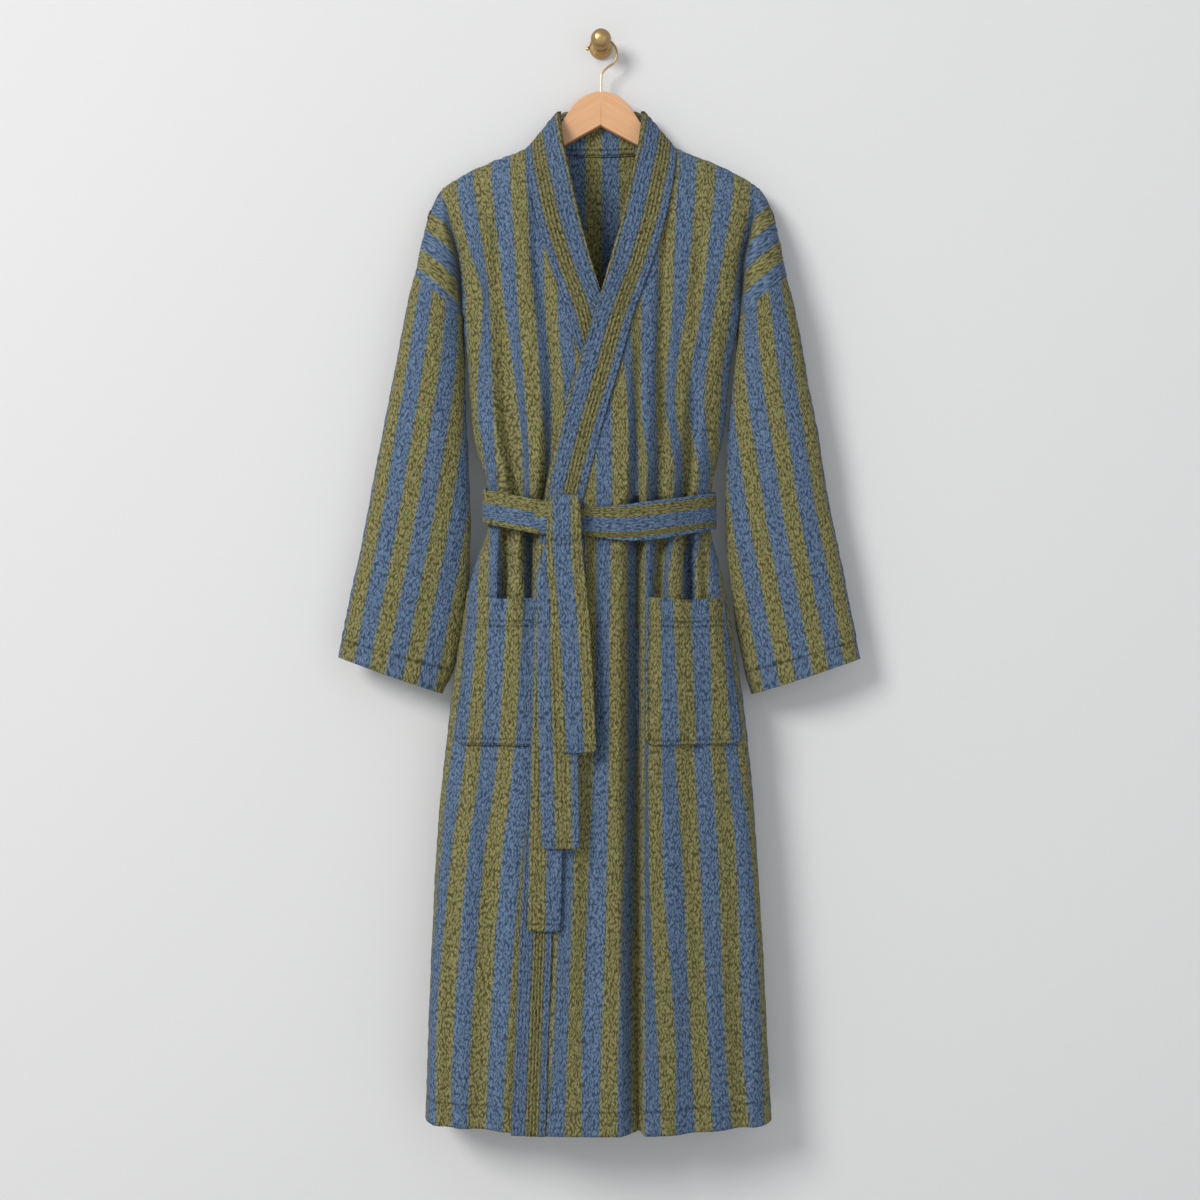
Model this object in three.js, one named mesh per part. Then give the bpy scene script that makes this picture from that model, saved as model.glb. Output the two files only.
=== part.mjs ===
// A striped fleece bathrobe, tied at the waist, on a wooden hanger that hangs from a wall knob.
// Millimetres. +Z is up, +X is the wearer's left, -Y faces the room and the plane y = 0 is the wall.
// A depth is the distance from the wall, so a point of depth d lies at y = -d.
import * as THREE from 'three';

// Cloth and seams
const CLOTH = 2.5;
const BAND = 5;
const SEAM_GAP = 0.3;
const SLEEVE_GAP = 0.5;
const BAND_PROUD = 2.3;

// The left front lies on the right one: how far it is lifted, how far from the right one's free
// edge the lift starts to fade and over what width; the same for the right front, pressed in
const LAP = { lift: 9, clear: 6, fade: 44 };
const UNDER = { drop: 24, clear: 10, fade: 35 };

// Heights that drive the garment
const NECK_Z = -139;
const UNDERARM_Z = -363;
const HEM_Z = -1391;
const NECK_X = 98;
const UNDERARM_X = 178;
const NECK_DROP = 8;

// How round the silhouette is, measured inwards from it
const SIDE_ROUND = 30;
const BACK_ROUND = 34;
const SHOULDER_ROUND = 105;
const ARM_ROUND = 42;
const BACK_SHOULDER_ROUND = 10;
const ARM_FROM = 206;

// Lines of the garment at each height: right and left side, band seam and free edge of the right
// front (the left front mirrors both), depth in the middle and near the side, depth of the back
const LEVELS = [
  { z: -97, right: -196, left: 196, seam: -98, edge: -56, middle: 62, flank: 62, back: 8 },
  { z: -139, right: -196, left: 196, seam: -98, edge: -49, middle: 66, flank: 64, back: 8 },
  { z: -215, right: -198, left: 197, seam: -88, edge: -33, middle: 72, flank: 66, back: 8 },
  { z: -290, right: -184, left: 183, seam: -68, edge: -14, middle: 78, flank: 66, back: 9 },
  { z: -363, right: -178, left: 178, seam: -42, edge: 8, middle: 84, flank: 64, back: 10 },
  { z: -430, right: -171, left: 167, seam: -24, edge: 29, middle: 88, flank: 62, back: 11 },
  { z: -520, right: -163, left: 156, seam: 2, edge: 56, middle: 94, flank: 64, back: 14 },
  { z: -575, right: -147, left: 144, seam: 16, edge: 68, middle: 99, flank: 66, back: 17 },
  { z: -606, right: -143, left: 140, seam: 24, edge: 73, middle: 100, flank: 66, back: 17 },
  { z: -637, right: -146, left: 142, seam: 29, edge: 76, middle: 100, flank: 66, back: 17 },
  { z: -670, right: -158, left: 149, seam: 33, edge: 78, middle: 101, flank: 68, back: 15 },
  { z: -720, right: -172, left: 161, seam: 36, edge: 80, middle: 102, flank: 70, back: 12 },
  { z: -860, right: -193, left: 183, seam: 44, edge: 86, middle: 106, flank: 74, back: 11 },
  { z: -1060, right: -212, left: 201, seam: 57, edge: 97, middle: 113, flank: 80, back: 11 },
  { z: -1391, right: -226, left: 219, seam: 69, edge: 112, middle: 122, flank: 86, back: 12 },
];

// The floor of the valley between arm and body, and below the armpit the depth of the side seam
const VALLEY = [
  { z: -139, depth: 64 },
  { z: -215, depth: 62 },
  { z: -290, depth: 54 },
  { z: -363, depth: 46 },
  { z: -606, depth: 49 },
  { z: -1391, depth: 50 },
];

// The shoulder seam from the neck over the hanger's tip to the top of the armhole
const SHOULDER = [
  { x: 98, z: -139, depth: 20 },
  { x: 140, z: -155, depth: 20 },
  { x: 190, z: -180, depth: 20 },
  { x: 206, z: -191.5, depth: 21 },
  { x: 216, z: -208, depth: 24 },
  { x: 228, z: -246, depth: 30 },
  { x: 240, z: -308, depth: 38 },
];
const ARMHOLE_TOP = SHOULDER[SHOULDER.length - 1];
const ARM_DEPTH = 72;
const ARMHOLE_MIDDLE = 42;
const ARMHOLE_SWELL = 32;
// How far from the armhole seam a panel bends to meet it
const ARMHOLE_BLEND = 40;

// The standing collar: its top, how wide it is there at the shoulder, where its piece behind the
// neck ends, and how far its free edge stands above its seam at the shoulder and below it
const COLLAR_TOP = -97;
const COLLAR_TOP_X = 60;
const BAND_END_X = 44;
const COLLAR_RISE = { high: 42, fade: 75, until: 260 };

// The neck seam of the back, from the middle to the shoulder seam
const NECK_SEAM = [
  { x: 0, depth: 8 },
  { x: 22, depth: 8 },
  { x: 44, depth: 8 },
  { x: 80, depth: 8.5 },
  { x: 92, depth: 10.5 },
  { x: 98, depth: 20 },
];

// Folds of the fronts: a trough from one height to another, where it runs, half its width
// and how deep it is at the top, half way down and at the end. steep is half its width to the
// left where that side is steeper
const FRONT_FOLDS = [
  { top: -360, end: -606, x: [-124, -121, -102], half: 17, deep: [3, 10, 16] },
  { top: -290, end: -606, x: [-79, -63, -70], half: 15, deep: [2, 8, 13] },
  { top: -530, end: -606, x: [-138, -130, -122], half: 9, deep: [2, 5, 6] },
  { top: -320, end: -606, x: [77, 76, 69], half: 15, deep: [2, 9, 14] },
  { top: -400, end: -606, x: [47, 45, 43], half: 12, deep: [2, 8, 10] },
  { top: -430, end: -606, x: [118, 114, 102], half: 14, deep: [2, 9, 14] },
  { top: -606, end: -732, x: [-89, -90, -90], half: 15, deep: [15, 12, 2] },
  { top: -606, end: -790, x: [-117, -120, -123], half: 13, deep: [12, 9, 1] },
  { top: -606, end: -800, x: [77, 78, 80], half: 12, deep: [11, 8, 1] },
  { top: -606, end: -790, x: [107, 111, 115], half: 13, deep: [13, 10, 1] },
  { top: -606, end: -780, x: [130, 134, 140], half: 10, deep: [6, 5, 1] },
  { top: -606, end: -1391, x: [45, 42, 44], half: 21, steep: 12, deep: [11, 21, 13] },
  { top: -760, end: -1300, x: [-16, -14, -18], half: 22, deep: [3, 5, 2] },
  { top: -780, end: -1391, x: [104, 112, 118], half: 30, deep: [2, 5, 6] },
  { top: -850, end: -1391, x: [160, 170, 176], half: 24, deep: [2, 4, 5] },
  { top: -800, end: -1391, x: [-128, -140, -150], half: 30, deep: [2, 5, 6] },
  { top: -900, end: -1391, x: [-180, -188, -194], half: 20, deep: [1, 4, 4] },
];

// How far past its ends a fold fades out
const FOLD_FADE = 14;

// Folds of the back, which hang the same way but shallower
const BACK_FOLDS = [
  { top: -400, end: -606, x: [-112, -108, -98], half: 18, deep: [2, 6, 9] },
  { top: -360, end: -606, x: [-52, -52, -54], half: 18, deep: [2, 6, 9] },
  { top: -420, end: -606, x: [-6, -6, -8], half: 17, deep: [1, 5, 8] },
  { top: -370, end: -606, x: [48, 46, 42], half: 18, deep: [2, 6, 9] },
  { top: -400, end: -606, x: [108, 104, 94], half: 18, deep: [2, 6, 9] },
  { top: -606, end: -820, x: [-98, -104, -112], half: 18, deep: [9, 7, 1] },
  { top: -606, end: -1391, x: [-54, -60, -70], half: 26, deep: [9, 8, 6] },
  { top: -606, end: -800, x: [-8, -6, -4], half: 17, deep: [8, 6, 1] },
  { top: -606, end: -1391, x: [42, 50, 62], half: 26, deep: [9, 8, 6] },
  { top: -606, end: -820, x: [94, 102, 110], half: 18, deep: [9, 7, 1] },
  { top: -850, end: -1391, x: [-140, -148, -156], half: 30, deep: [2, 6, 7] },
  { top: -850, end: -1391, x: [136, 144, 150], half: 30, deep: [2, 6, 7] },
];

// Sleeves, from the armhole to the cuff: outer and inner edge, the depth of the middle of the tube
// and how far it swells to the front and to the back
const SLEEVES = {
  right: [
    { outX: -240, outZ: -308, inX: -178, inZ: -363, middle: ARMHOLE_MIDDLE, swell: ARMHOLE_SWELL },
    { outX: -247, outZ: -335, inX: -177.5, inZ: -383, middle: 43, swell: 31 },
    { outX: -256, outZ: -378, inX: -175.5, inZ: -415, middle: 43, swell: 30 },
    { outX: -270, outZ: -450, inX: -174, inZ: -480, middle: 43, swell: 28 },
    { outX: -285, outZ: -527, inX: -171, inZ: -556, middle: 43, swell: 27 },
    { outX: -299, outZ: -604, inX: -168.5, inZ: -632, middle: 42, swell: 26 },
    { outX: -312, outZ: -668, inX: -170, inZ: -698, middle: 42, swell: 25 },
    { outX: -325, outZ: -730, inX: -178, inZ: -762, middle: 41, swell: 24 },
    { outX: -334, outZ: -774, inX: -190, inZ: -814, middle: 41, swell: 23 },
    { outX: -339, outZ: -800, inX: -205, inZ: -847, middle: 40, swell: 22 },
  ],
  left: [
    { outX: 240, outZ: -308, inX: 178, inZ: -363, middle: ARMHOLE_MIDDLE, swell: ARMHOLE_SWELL },
    { outX: 246, outZ: -335, inX: 176.5, inZ: -383, middle: 43, swell: 31 },
    { outX: 255, outZ: -378, inX: 173, inZ: -415, middle: 43, swell: 30 },
    { outX: 268, outZ: -450, inX: 166.5, inZ: -480, middle: 43, swell: 28 },
    { outX: 282, outZ: -527, inX: 161.5, inZ: -556, middle: 43, swell: 27 },
    { outX: 295, outZ: -604, inX: 161, inZ: -632, middle: 42, swell: 26 },
    { outX: 308, outZ: -668, inX: 166, inZ: -698, middle: 42, swell: 25 },
    { outX: 320, outZ: -730, inX: 175, inZ: -762, middle: 41, swell: 24 },
    { outX: 329, outZ: -774, inX: 184, inZ: -814, middle: 41, swell: 23 },
    { outX: 334, outZ: -802, inX: 194, inZ: -848, middle: 40, swell: 22 },
  ],
};

// How far to each side of a point its slope is taken
const SLOPE_REACH = 4;
const TAIL_REACH = 12;

// Patch pockets: inner and outer edge and the two corners' heights at the mouth and at the bottom
const POCKET_GAP = 1.2;
const POCKET_CLOTH = 2.3;
const POCKET_BULGE = 9;
const POCKET_CORNER = 10;
const POCKET_CORNER_HIGH = 16;
const POCKET_SAG = 4;
// Share of its width and height over which a pocket rises from its sewn sides and bottom
const POCKET_SEWN = { side: 0.2, bottom: 0.25 };
// The tails press the right pocket's inner edge flat as far out as clearX, and over fade beside it
const POCKET_PRESSED = { clearX: -88, fade: 20 };
// Share of a trough that a pocket spans, and how far its steepest walls let it be moved out
const POCKET_SPANS = 0.75;
const POCKET_STEEPEST = 2.4;
const POCKETS = {
  right: { mouthIn: -62, mouthOut: -166, bottomIn: -58, bottomOut: -187, mouthZ: -721, bottomZ: -909 },
  left: { mouthIn: 56, mouthOut: 157, bottomIn: 55, bottomOut: 181, mouthZ: -722, bottomZ: -908 },
};

// Tie belt: where its middle runs round the waist and how wide it shows there
const BELT_THICK = 5;
const BELT_CORNER = 1.2;
const BELT_WIDE = 47;
const BELT_GAP = 2;
const BELT_SIDE = 1.5;
const BELT_FRONT = [
  { x: -153, z: -606, wide: 43 },
  { x: -66, z: -624, wide: 43 },
  { x: -22, z: -629, wide: 35 },
  { x: 24, z: -630, wide: 44 },
  { x: 61, z: -627, wide: 49 },
  { x: 148, z: -612, wide: 46 },
];
const BELT_BACK_Z = -600;
const WAIST_Z = -606;

// Hanging ends of the belt: how far each lies in front of the fronts, and its middle and width
const TAILS = {
  belt_tail_back: {
    lift: 1.5,
    rows: [
      { z: -656, x: -58, wide: 40 },
      { z: -760, x: -62, wide: 43 },
      { z: -937, x: -67, wide: 42 },
      { z: -1137, x: -71, wide: 42 },
    ],
  },
  belt_tail_middle: {
    lift: 7.2,
    rows: [
      { z: -656, x: -50, wide: 40 },
      { z: -700, x: -56, wide: 47 },
      { z: -800, x: -56, wide: 48 },
      { z: -906, x: -53, wide: 48 },
      { z: -1034, x: -50, wide: 47 },
    ],
  },
  belt_tail_front: {
    lift: 13,
    rows: [
      { z: -596, x: -46, wide: 38 },
      { z: -656, x: -45.5, wide: 45 },
      { z: -760, x: -37, wide: 47 },
      { z: -915, x: -29, wide: 47 },
    ],
  },
};

// The knot: its middle and half its size, how far its back and front lie in front of the fronts,
// and its rings from the flat back out
const KNOT = { x: -56, z: -626, halfX: 28, halfZ: 22, back: 8.6, front: 21 };
const KNOT_SIDES = 14;
const KNOT_RINGS = [
  { out: 0, size: 0.82 },
  { out: 0.13, size: 1 },
  { out: 0.38, size: 0.99 },
  { out: 0.5, size: 0.97 },
  { out: 0.63, size: 0.92 },
  { out: 0.75, size: 0.82 },
  { out: 0.88, size: 0.62 },
  { out: 1, size: 0.2 },
];
// The front tail starts over the knot and comes down to its own lift below it, over this height
const KNOT_LIFT = KNOT.front - TAILS.belt_tail_front.lift + 0.4;
const KNOT_DROP = { from: KNOT.z - KNOT.halfZ + 8, high: 22 };

// Wooden hanger
const HANGER = { middle: 20, thick: 11, bevel: 1.5, archZ: -111, archR: 46, archTurn: 55, mitre: 0.15 };
const HANGER_TOP = [[-54, -109], [-66, -126], [-98, -151], [-140, -164], [-186, -189.5], [-193, -195]];
const HANGER_END = [[-196, -202], [-192, -209], [-183, -208]];
const HANGER_UNDER = [[-98, -169], [-53, -137.5], [0, -109.6]];

// Hook of the hanger and the wall knob that carries it
const HOOK = { wire: 1.5, x: 1.3, z: -14.7, radius: 19.5, from: -42, to: 153 };
const HOOK_STEM = [[0, -64.6], [0, -52], [0.3, -42], [2.5, -38], [8, -32.5]];
const HOOK_BALL = [
  { along: 0.8, r: 2.2 },
  { along: 2.2, r: 2.6 },
  { along: 3.6, r: 2.2 },
  { along: 4.6, r: 1.2 },
];
const HOOK_STEPS = 18;
const HOOK_SIDES = 8;
const NECK_R = 3;
const BALL = { radius: 13.2, depth: 34, steps: 10 };
const KNOB_FOOT = [[NECK_R, 16], [4.2, 11], [6, 6.3], [0, 6.3]];
const ROSE = [[0, 6], [9, 6], [10.5, 4.6], [13.6, 4.4], [15.5, 2.8], [15.5, 0], [0, 0]];

// Numbers of rows and columns
const ARMHOLE_DROPS = [0, 0.02, 0.08, 0.18, 0.32, 0.5, 0.74, 1];
const ARMHOLE_ROWS = ARMHOLE_DROPS.length - 1;
const ROUND_COLUMNS = [0.91, 0.96, 0.99, 1];
const ROUND_FROM = 0.85;
const RIGHT_STEPS = [2, 4, 2, 3, 5, 3];
const LEFT_STEPS = [4, 7, 4, 3, 5, 3];
const BODY_ROWS = [-395, -430, -465, -500, -530, -560, -585, -606, -625, -645, -670, -700, -735,
  -775, -820, -900, -1010, -1130, -1260, HEM_Z];
const BACK_BODY_ROWS = [-410, -465, -520, -570, -606, -640, -690, -750, -830, -930, -1050, -1170,
  -1290, HEM_Z];
// Share of the back's width that each shoulder seam takes, and a column near the side inside it
const BACK_SHOULDER = 0.36;
const BACK_SIDE_COLUMN = 0.12;
const SLEEVE_SIDES = 20;
const BAND_COLUMNS = 5;
const BAND_BACK_ROWS = 3;
const BAND_BACK_COLUMNS = 4;
const POCKET_CELLS = 9;
const BELT_HALF = 40;
const TAIL_STEP = 26;

// Small arithmetic
const clamp = (v) => Math.min(1, Math.max(0, v));
const mix = (a, b, v) => a + (b - a) * v;
const soft = (v) => clamp(v) ** 2 * (3 - 2 * clamp(v));
const quarterRound = (v) => Math.sqrt(1 - (1 - clamp(v)) ** 2);
const through = ([a, b, c], v) => a * (2 * v - 1) * (v - 1) + 4 * b * v * (1 - v) + c * v * (2 * v - 1);

// A smooth curve through the rows of a table: row[value] as a function of row[at]
function curve(rows, at, value) {
  const p = rows.map((row) => [row[at], row[value]]).sort((a, b) => a[0] - b[0]);
  const last = p.length - 1;
  const secant = (i) => (p[i + 1][1] - p[i][1]) / (p[i + 1][0] - p[i][0]);
  const slope = p.map((_, i) => {
    if (i === 0) return secant(0);
    if (i === last) return secant(last - 1);
    const [before, after] = [secant(i - 1), secant(i)];
    return before * after <= 0 ? 0 : (2 * before * after) / (before + after);
  });
  return (v) => {
    const w = Math.min(p[last][0], Math.max(p[0][0], v));
    let i = 0;
    while (i < last - 1 && w > p[i + 1][0]) i += 1;
    const step = p[i + 1][0] - p[i][0];
    const t = (w - p[i][0]) / step;
    const rise = t * t * (3 - 2 * t);
    return (
      mix(p[i][1], p[i + 1][1], rise) +
      step * t * (1 - t) * (slope[i] * (1 - t) - slope[i + 1] * t)
    );
  };
}

const level = {};
for (const name of ['right', 'left', 'seam', 'edge', 'middle', 'flank', 'back']) {
  level[name] = curve(LEVELS, 'z', name);
}
const valleyDepth = curve(VALLEY, 'z', 'depth');
const sideX = (z, x) => (x < 0 ? -level.right(z) : level.left(z));

// Depth that the folds take away at a point
function foldDepth(folds, x, z) {
  let sum = 0;
  for (const fold of folds) {
    const v = (fold.top - z) / (fold.top - fold.end);
    const past = Math.max(-v, v - 1) * (fold.top - fold.end);
    if (past > FOLD_FADE) continue;
    const at = clamp(v);
    const away = x - through(fold.x, at);
    const off = Math.abs(away) / (away > 0 && fold.steep ? fold.steep : fold.half);
    if (off >= 1) continue;
    const fade = past > 0 ? 1 - soft(past / FOLD_FADE) : 1;
    sum += (fade * through(fold.deep, at) * (1 + Math.cos(Math.PI * off))) / 2;
  }
  return sum;
}

// Nearest point of the shoulder seam: how far off it is, its depth and how round the cloth is there
function shoulderNear(x, z) {
  const ridge = [{ x: COLLAR_TOP_X, z: COLLAR_TOP, depth: SHOULDER[0].depth }, ...SHOULDER];
  let best = { far: Infinity };
  for (let i = 0; i + 1 < ridge.length; i += 1) {
    const [a, b] = [ridge[i], ridge[i + 1]];
    const [dx, dz] = [b.x - a.x, b.z - a.z];
    const t = clamp(((Math.abs(x) - a.x) * dx + (z - a.z) * dz) / (dx * dx + dz * dz));
    const far = Math.hypot(Math.abs(x) - mix(a.x, b.x, t), z - mix(a.z, b.z, t));
    if (far < best.far) best = { far, depth: mix(a.depth, b.depth, t), x: mix(a.x, b.x, t) };
  }
  const arm = soft((best.x - ARM_FROM) / (ARMHOLE_TOP.x - ARM_FROM));
  return { ...best, round: mix(SHOULDER_ROUND, ARM_ROUND, arm) };
}

// Depth of the fronts at a point, without and with their folds
function frontEnvelope(x, z) {
  const side = sideX(z, x);
  const floor = valleyDepth(z);
  const share = clamp(Math.abs(x) / side) ** 2;
  const chest = mix(level.middle(z), level.flank(z), share);
  const inside = side - Math.abs(x);
  return inside >= 0
    ? floor + (chest - floor) * quarterRound(inside / SIDE_ROUND)
    : floor + (ARM_DEPTH - floor) * quarterRound(-inside / ARM_ROUND);
}
function frontDepth(x, z) {
  const near = shoulderNear(x, z);
  const inside = sideX(z, x) - Math.abs(x);
  const reach = z < UNDERARM_Z ? soft(inside / SIDE_ROUND) : 1;
  const full = frontEnvelope(x, z) - reach * foldDepth(FRONT_FOLDS, x, z);
  return mix(near.depth, full, quarterRound(near.far / near.round));
}

// Depth of the back at a point
function backDepth(x, z) {
  const side = sideX(z, x);
  const floor = z < UNDERARM_Z ? valleyDepth(z) : mix(level.back(z), valleyDepth(UNDERARM_Z),
    soft((z - NECK_Z) / (UNDERARM_Z - NECK_Z)) ** 2);
  const inside = Math.abs(side - Math.abs(x));
  const reach = soft(inside / BACK_ROUND);
  const flat = level.back(z) + reach * foldDepth(BACK_FOLDS, x, z);
  const full = mix(floor, flat, quarterRound(inside / BACK_ROUND));
  const near = shoulderNear(x, z);
  const arm = soft((near.x - ARM_FROM) / (ARMHOLE_TOP.x - ARM_FROM));
  return mix(near.depth, full, quarterRound(near.far / mix(BACK_SHOULDER_ROUND, BACK_ROUND, arm)));
}

// How far the left front is lifted where it lies on the right one
function lap(x, z) {
  return LAP.lift * (1 - soft((x - level.edge(z) - LAP.clear) / LAP.fade));
}
// How far the right front lies behind its open form where the left one hides it
function under(x, z) {
  const hidden = soft((x + level.edge(z) - UNDER.clear) / UNDER.fade);
  return hidden * (UNDER.drop - (frontEnvelope(x, z) - frontDepth(x, z)));
}

// A closed shell from a grid of outer points and the same grid moved in.
// A wrapped grid closes on itself across its columns, as a sleeve does.
function shell(outer, inner, wrapped = false) {
  const rows = outer.length;
  const columns = outer[0].length;
  const points = [...outer.flat(), ...inner.flat()];
  const at = (side, i, j) => side * rows * columns + i * columns + (j % columns);
  const index = [];
  const quad = (a, b, c, d) => index.push(a, b, c, a, c, d);
  const across = wrapped ? columns : columns - 1;
  for (let i = 0; i + 1 < rows; i += 1) {
    for (let j = 0; j < across; j += 1) {
      quad(at(0, i, j), at(0, i + 1, j), at(0, i + 1, j + 1), at(0, i, j + 1));
      quad(at(1, i, j), at(1, i, j + 1), at(1, i + 1, j + 1), at(1, i + 1, j));
    }
    if (!wrapped) {
      quad(at(0, i, 0), at(1, i, 0), at(1, i + 1, 0), at(0, i + 1, 0));
      const j = columns - 1;
      quad(at(0, i, j), at(0, i + 1, j), at(1, i + 1, j), at(1, i, j));
    }
  }
  for (let j = 0; j < across; j += 1) {
    quad(at(0, 0, j), at(0, 0, j + 1), at(1, 0, j + 1), at(1, 0, j));
    const i = rows - 1;
    quad(at(0, i, j), at(1, i, j), at(1, i, j + 1), at(0, i, j + 1));
  }
  return outward(points, index);
}

// Geometry of a closed body, turned so that its faces point out
function outward(points, index) {
  const [a, b, c] = [new THREE.Vector3(), new THREE.Vector3(), new THREE.Vector3()];
  let volume = 0;
  for (let k = 0; k < index.length; k += 3) {
    a.fromArray(points[index[k]]);
    b.fromArray(points[index[k + 1]]);
    c.fromArray(points[index[k + 2]]);
    volume += a.dot(b.cross(c));
  }
  const geometry = new THREE.BufferGeometry();
  geometry.setAttribute('position', new THREE.Float32BufferAttribute(points.flat(), 3));
  geometry.setIndex(volume < 0 ? index.reverse() : index);
  geometry.computeVertexNormals();
  return geometry;
}

// The grid moved in along its normals by a thickness. rule(i, j) may name a direction that the
// move must not have, so that the rim at a seam stays in the seam's own plane.
function movedIn(grid, thick, facing, rule) {
  const point = (i, j) => new THREE.Vector3().fromArray(
    grid[Math.min(grid.length - 1, Math.max(0, i))][Math.min(grid[0].length - 1, Math.max(0, j))],
  );
  const normals = grid.map((row, i) => row.map((_, j) => {
    const down = point(i + 1, j).sub(point(i - 1, j));
    const along = point(i, j + 1).sub(point(i, j - 1));
    return down.cross(along).normalize();
  }));
  const sum = new THREE.Vector3();
  normals.flat().forEach((n) => sum.add(n));
  const sign = sum.dot(facing) < 0 ? -1 : 1;
  return grid.map((row, i) => row.map((p, j) => {
    const n = normals[i][j].multiplyScalar(sign);
    for (const plane of rule(i, j)) n.addScaledVector(plane, -n.dot(plane));
    n.normalize();
    return [p[0] - n.x * thick, p[1] - n.y * thick, p[2] - n.z * thick];
  }));
}

const X = new THREE.Vector3(1, 0, 0);
const Y = new THREE.Vector3(0, 1, 0);
const Z = new THREE.Vector3(0, 0, 1);
const TO_ROOM = new THREE.Vector3(0, -1, 0);
const TO_WALL = new THREE.Vector3(0, 1, 0);
const armholeAxis = (hand) => new THREE.Vector3(
  hand * (ARMHOLE_TOP.z - UNDERARM_Z), 0, UNDERARM_X - ARMHOLE_TOP.x,
).normalize();

// How far along the shoulder seam its corner k lies, as a share of the seam
function shoulderShare(k) {
  const steps = SHOULDER.slice(1).map((p, i) => Math.hypot(p.x - SHOULDER[i].x, p.z - SHOULDER[i].z));
  const sum = (list) => list.reduce((a, b) => a + b, 0);
  return sum(steps.slice(0, k)) / sum(steps);
}

// A point of the shoulder seam, from the neck at 0 to the top of the armhole at 1
function shoulderPoint(v) {
  let i = 0;
  while (i < SHOULDER.length - 2 && v > shoulderShare(i + 1)) i += 1;
  const t = (v - shoulderShare(i)) / (shoulderShare(i + 1) - shoulderShare(i));
  const [a, b] = [SHOULDER[i], SHOULDER[i + 1]];
  return { x: mix(a.x, b.x, t), z: mix(a.z, b.z, t), depth: mix(a.depth, b.depth, t) };
}

// A point of the armhole seam at an angle, 0 on the shoulder and pi in the armpit
function armholePoint(angle) {
  const v = (1 - Math.cos(angle)) / 2;
  const middle = mix(ARMHOLE_TOP.depth, valleyDepth(UNDERARM_Z), v);
  return {
    x: mix(ARMHOLE_TOP.x, UNDERARM_X, v),
    z: mix(ARMHOLE_TOP.z, UNDERARM_Z, v),
    front: middle + ARMHOLE_SWELL * Math.sin(angle),
    back: middle - ARMHOLE_SWELL * Math.sin(angle),
  };
}

// Rows of a panel above the armpit: how far down the row is, and its point on the armhole
function armholeRows() {
  return ARMHOLE_DROPS.map((drop, k) => ({
    drop,
    arm: armholePoint(Math.PI * (k / ARMHOLE_ROWS) ** 0.9),
  }));
}

const frontRowZ = [
  ...armholeRows().map((row) => mix(NECK_Z, UNDERARM_Z, row.drop)),
  ...BODY_ROWS,
];

// Columns of a front, as shares of the way from the band seam to the side: every corner of the
// shoulder seam has one, and they stand close where the cloth folds
function frontColumns(hand) {
  const stops = [...SHOULDER.slice(0, -1).map((_, k) => shoulderShare(k)), ROUND_FROM];
  const columns = [0];
  (hand < 0 ? RIGHT_STEPS : LEFT_STEPS).forEach((count, k) => {
    for (let i = 1; i <= count; i += 1) columns.push(mix(stops[k], stops[k + 1], i / count));
  });
  return [...columns, ...ROUND_COLUMNS];
}

// One front, from the band seam (column 0) to the armhole and side seam
function frontPanel(hand) {
  const columns = frontColumns(hand);
  const depth = (x, z) => frontDepth(x, z) + (hand > 0 ? lap(x, z) : -under(x, z));
  const seam = (z) => -hand * level.seam(z) + hand * SEAM_GAP;
  const point = (x, z, d) => [x, -d, z];
  const upper = armholeRows().map(({ drop, arm }) => {
    const zIn = mix(NECK_Z, UNDERARM_Z, drop);
    return columns.map((s) => {
      const top = shoulderPoint(s);
      const topX = mix(NECK_X, ARMHOLE_TOP.x, s);
      const topZ = mix(NECK_Z, ARMHOLE_TOP.z, s);
      const x = mix(seam(zIn), hand * arm.x, s) + hand * (1 - drop) * (top.x - topX);
      const z = mix(zIn, arm.z, s) + (1 - drop) * (top.z - topZ);
      const off = Math.hypot(x - hand * arm.x, z - arm.z);
      const miss = arm.front - depth(hand * arm.x, arm.z);
      const d = drop === 0 ? top.depth : depth(x, z) + miss * (1 - soft(off / ARMHOLE_BLEND));
      return point(x, z, d + SEAM_GAP / 2);
    });
  });
  const lower = BODY_ROWS.map((z) => columns.map((s) => {
    const x = mix(seam(z), hand * sideX(z, hand), s);
    return point(x, z, depth(x, z) + SEAM_GAP / 2);
  }));
  const outer = [...upper, ...lower];
  const axis = armholeAxis(hand);
  const last = columns.length - 1;
  const inner = movedIn(outer, CLOTH, TO_ROOM, (i, j) => {
    if (i === 0) return j === last ? [Y, axis] : [Y];
    if (j === 0) return [X];
    if (j === last) return i < ARMHOLE_ROWS ? [axis] : i === ARMHOLE_ROWS ? [axis, Y] : [Y];
    return [];
  });
  return shell(outer, inner);
}

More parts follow.
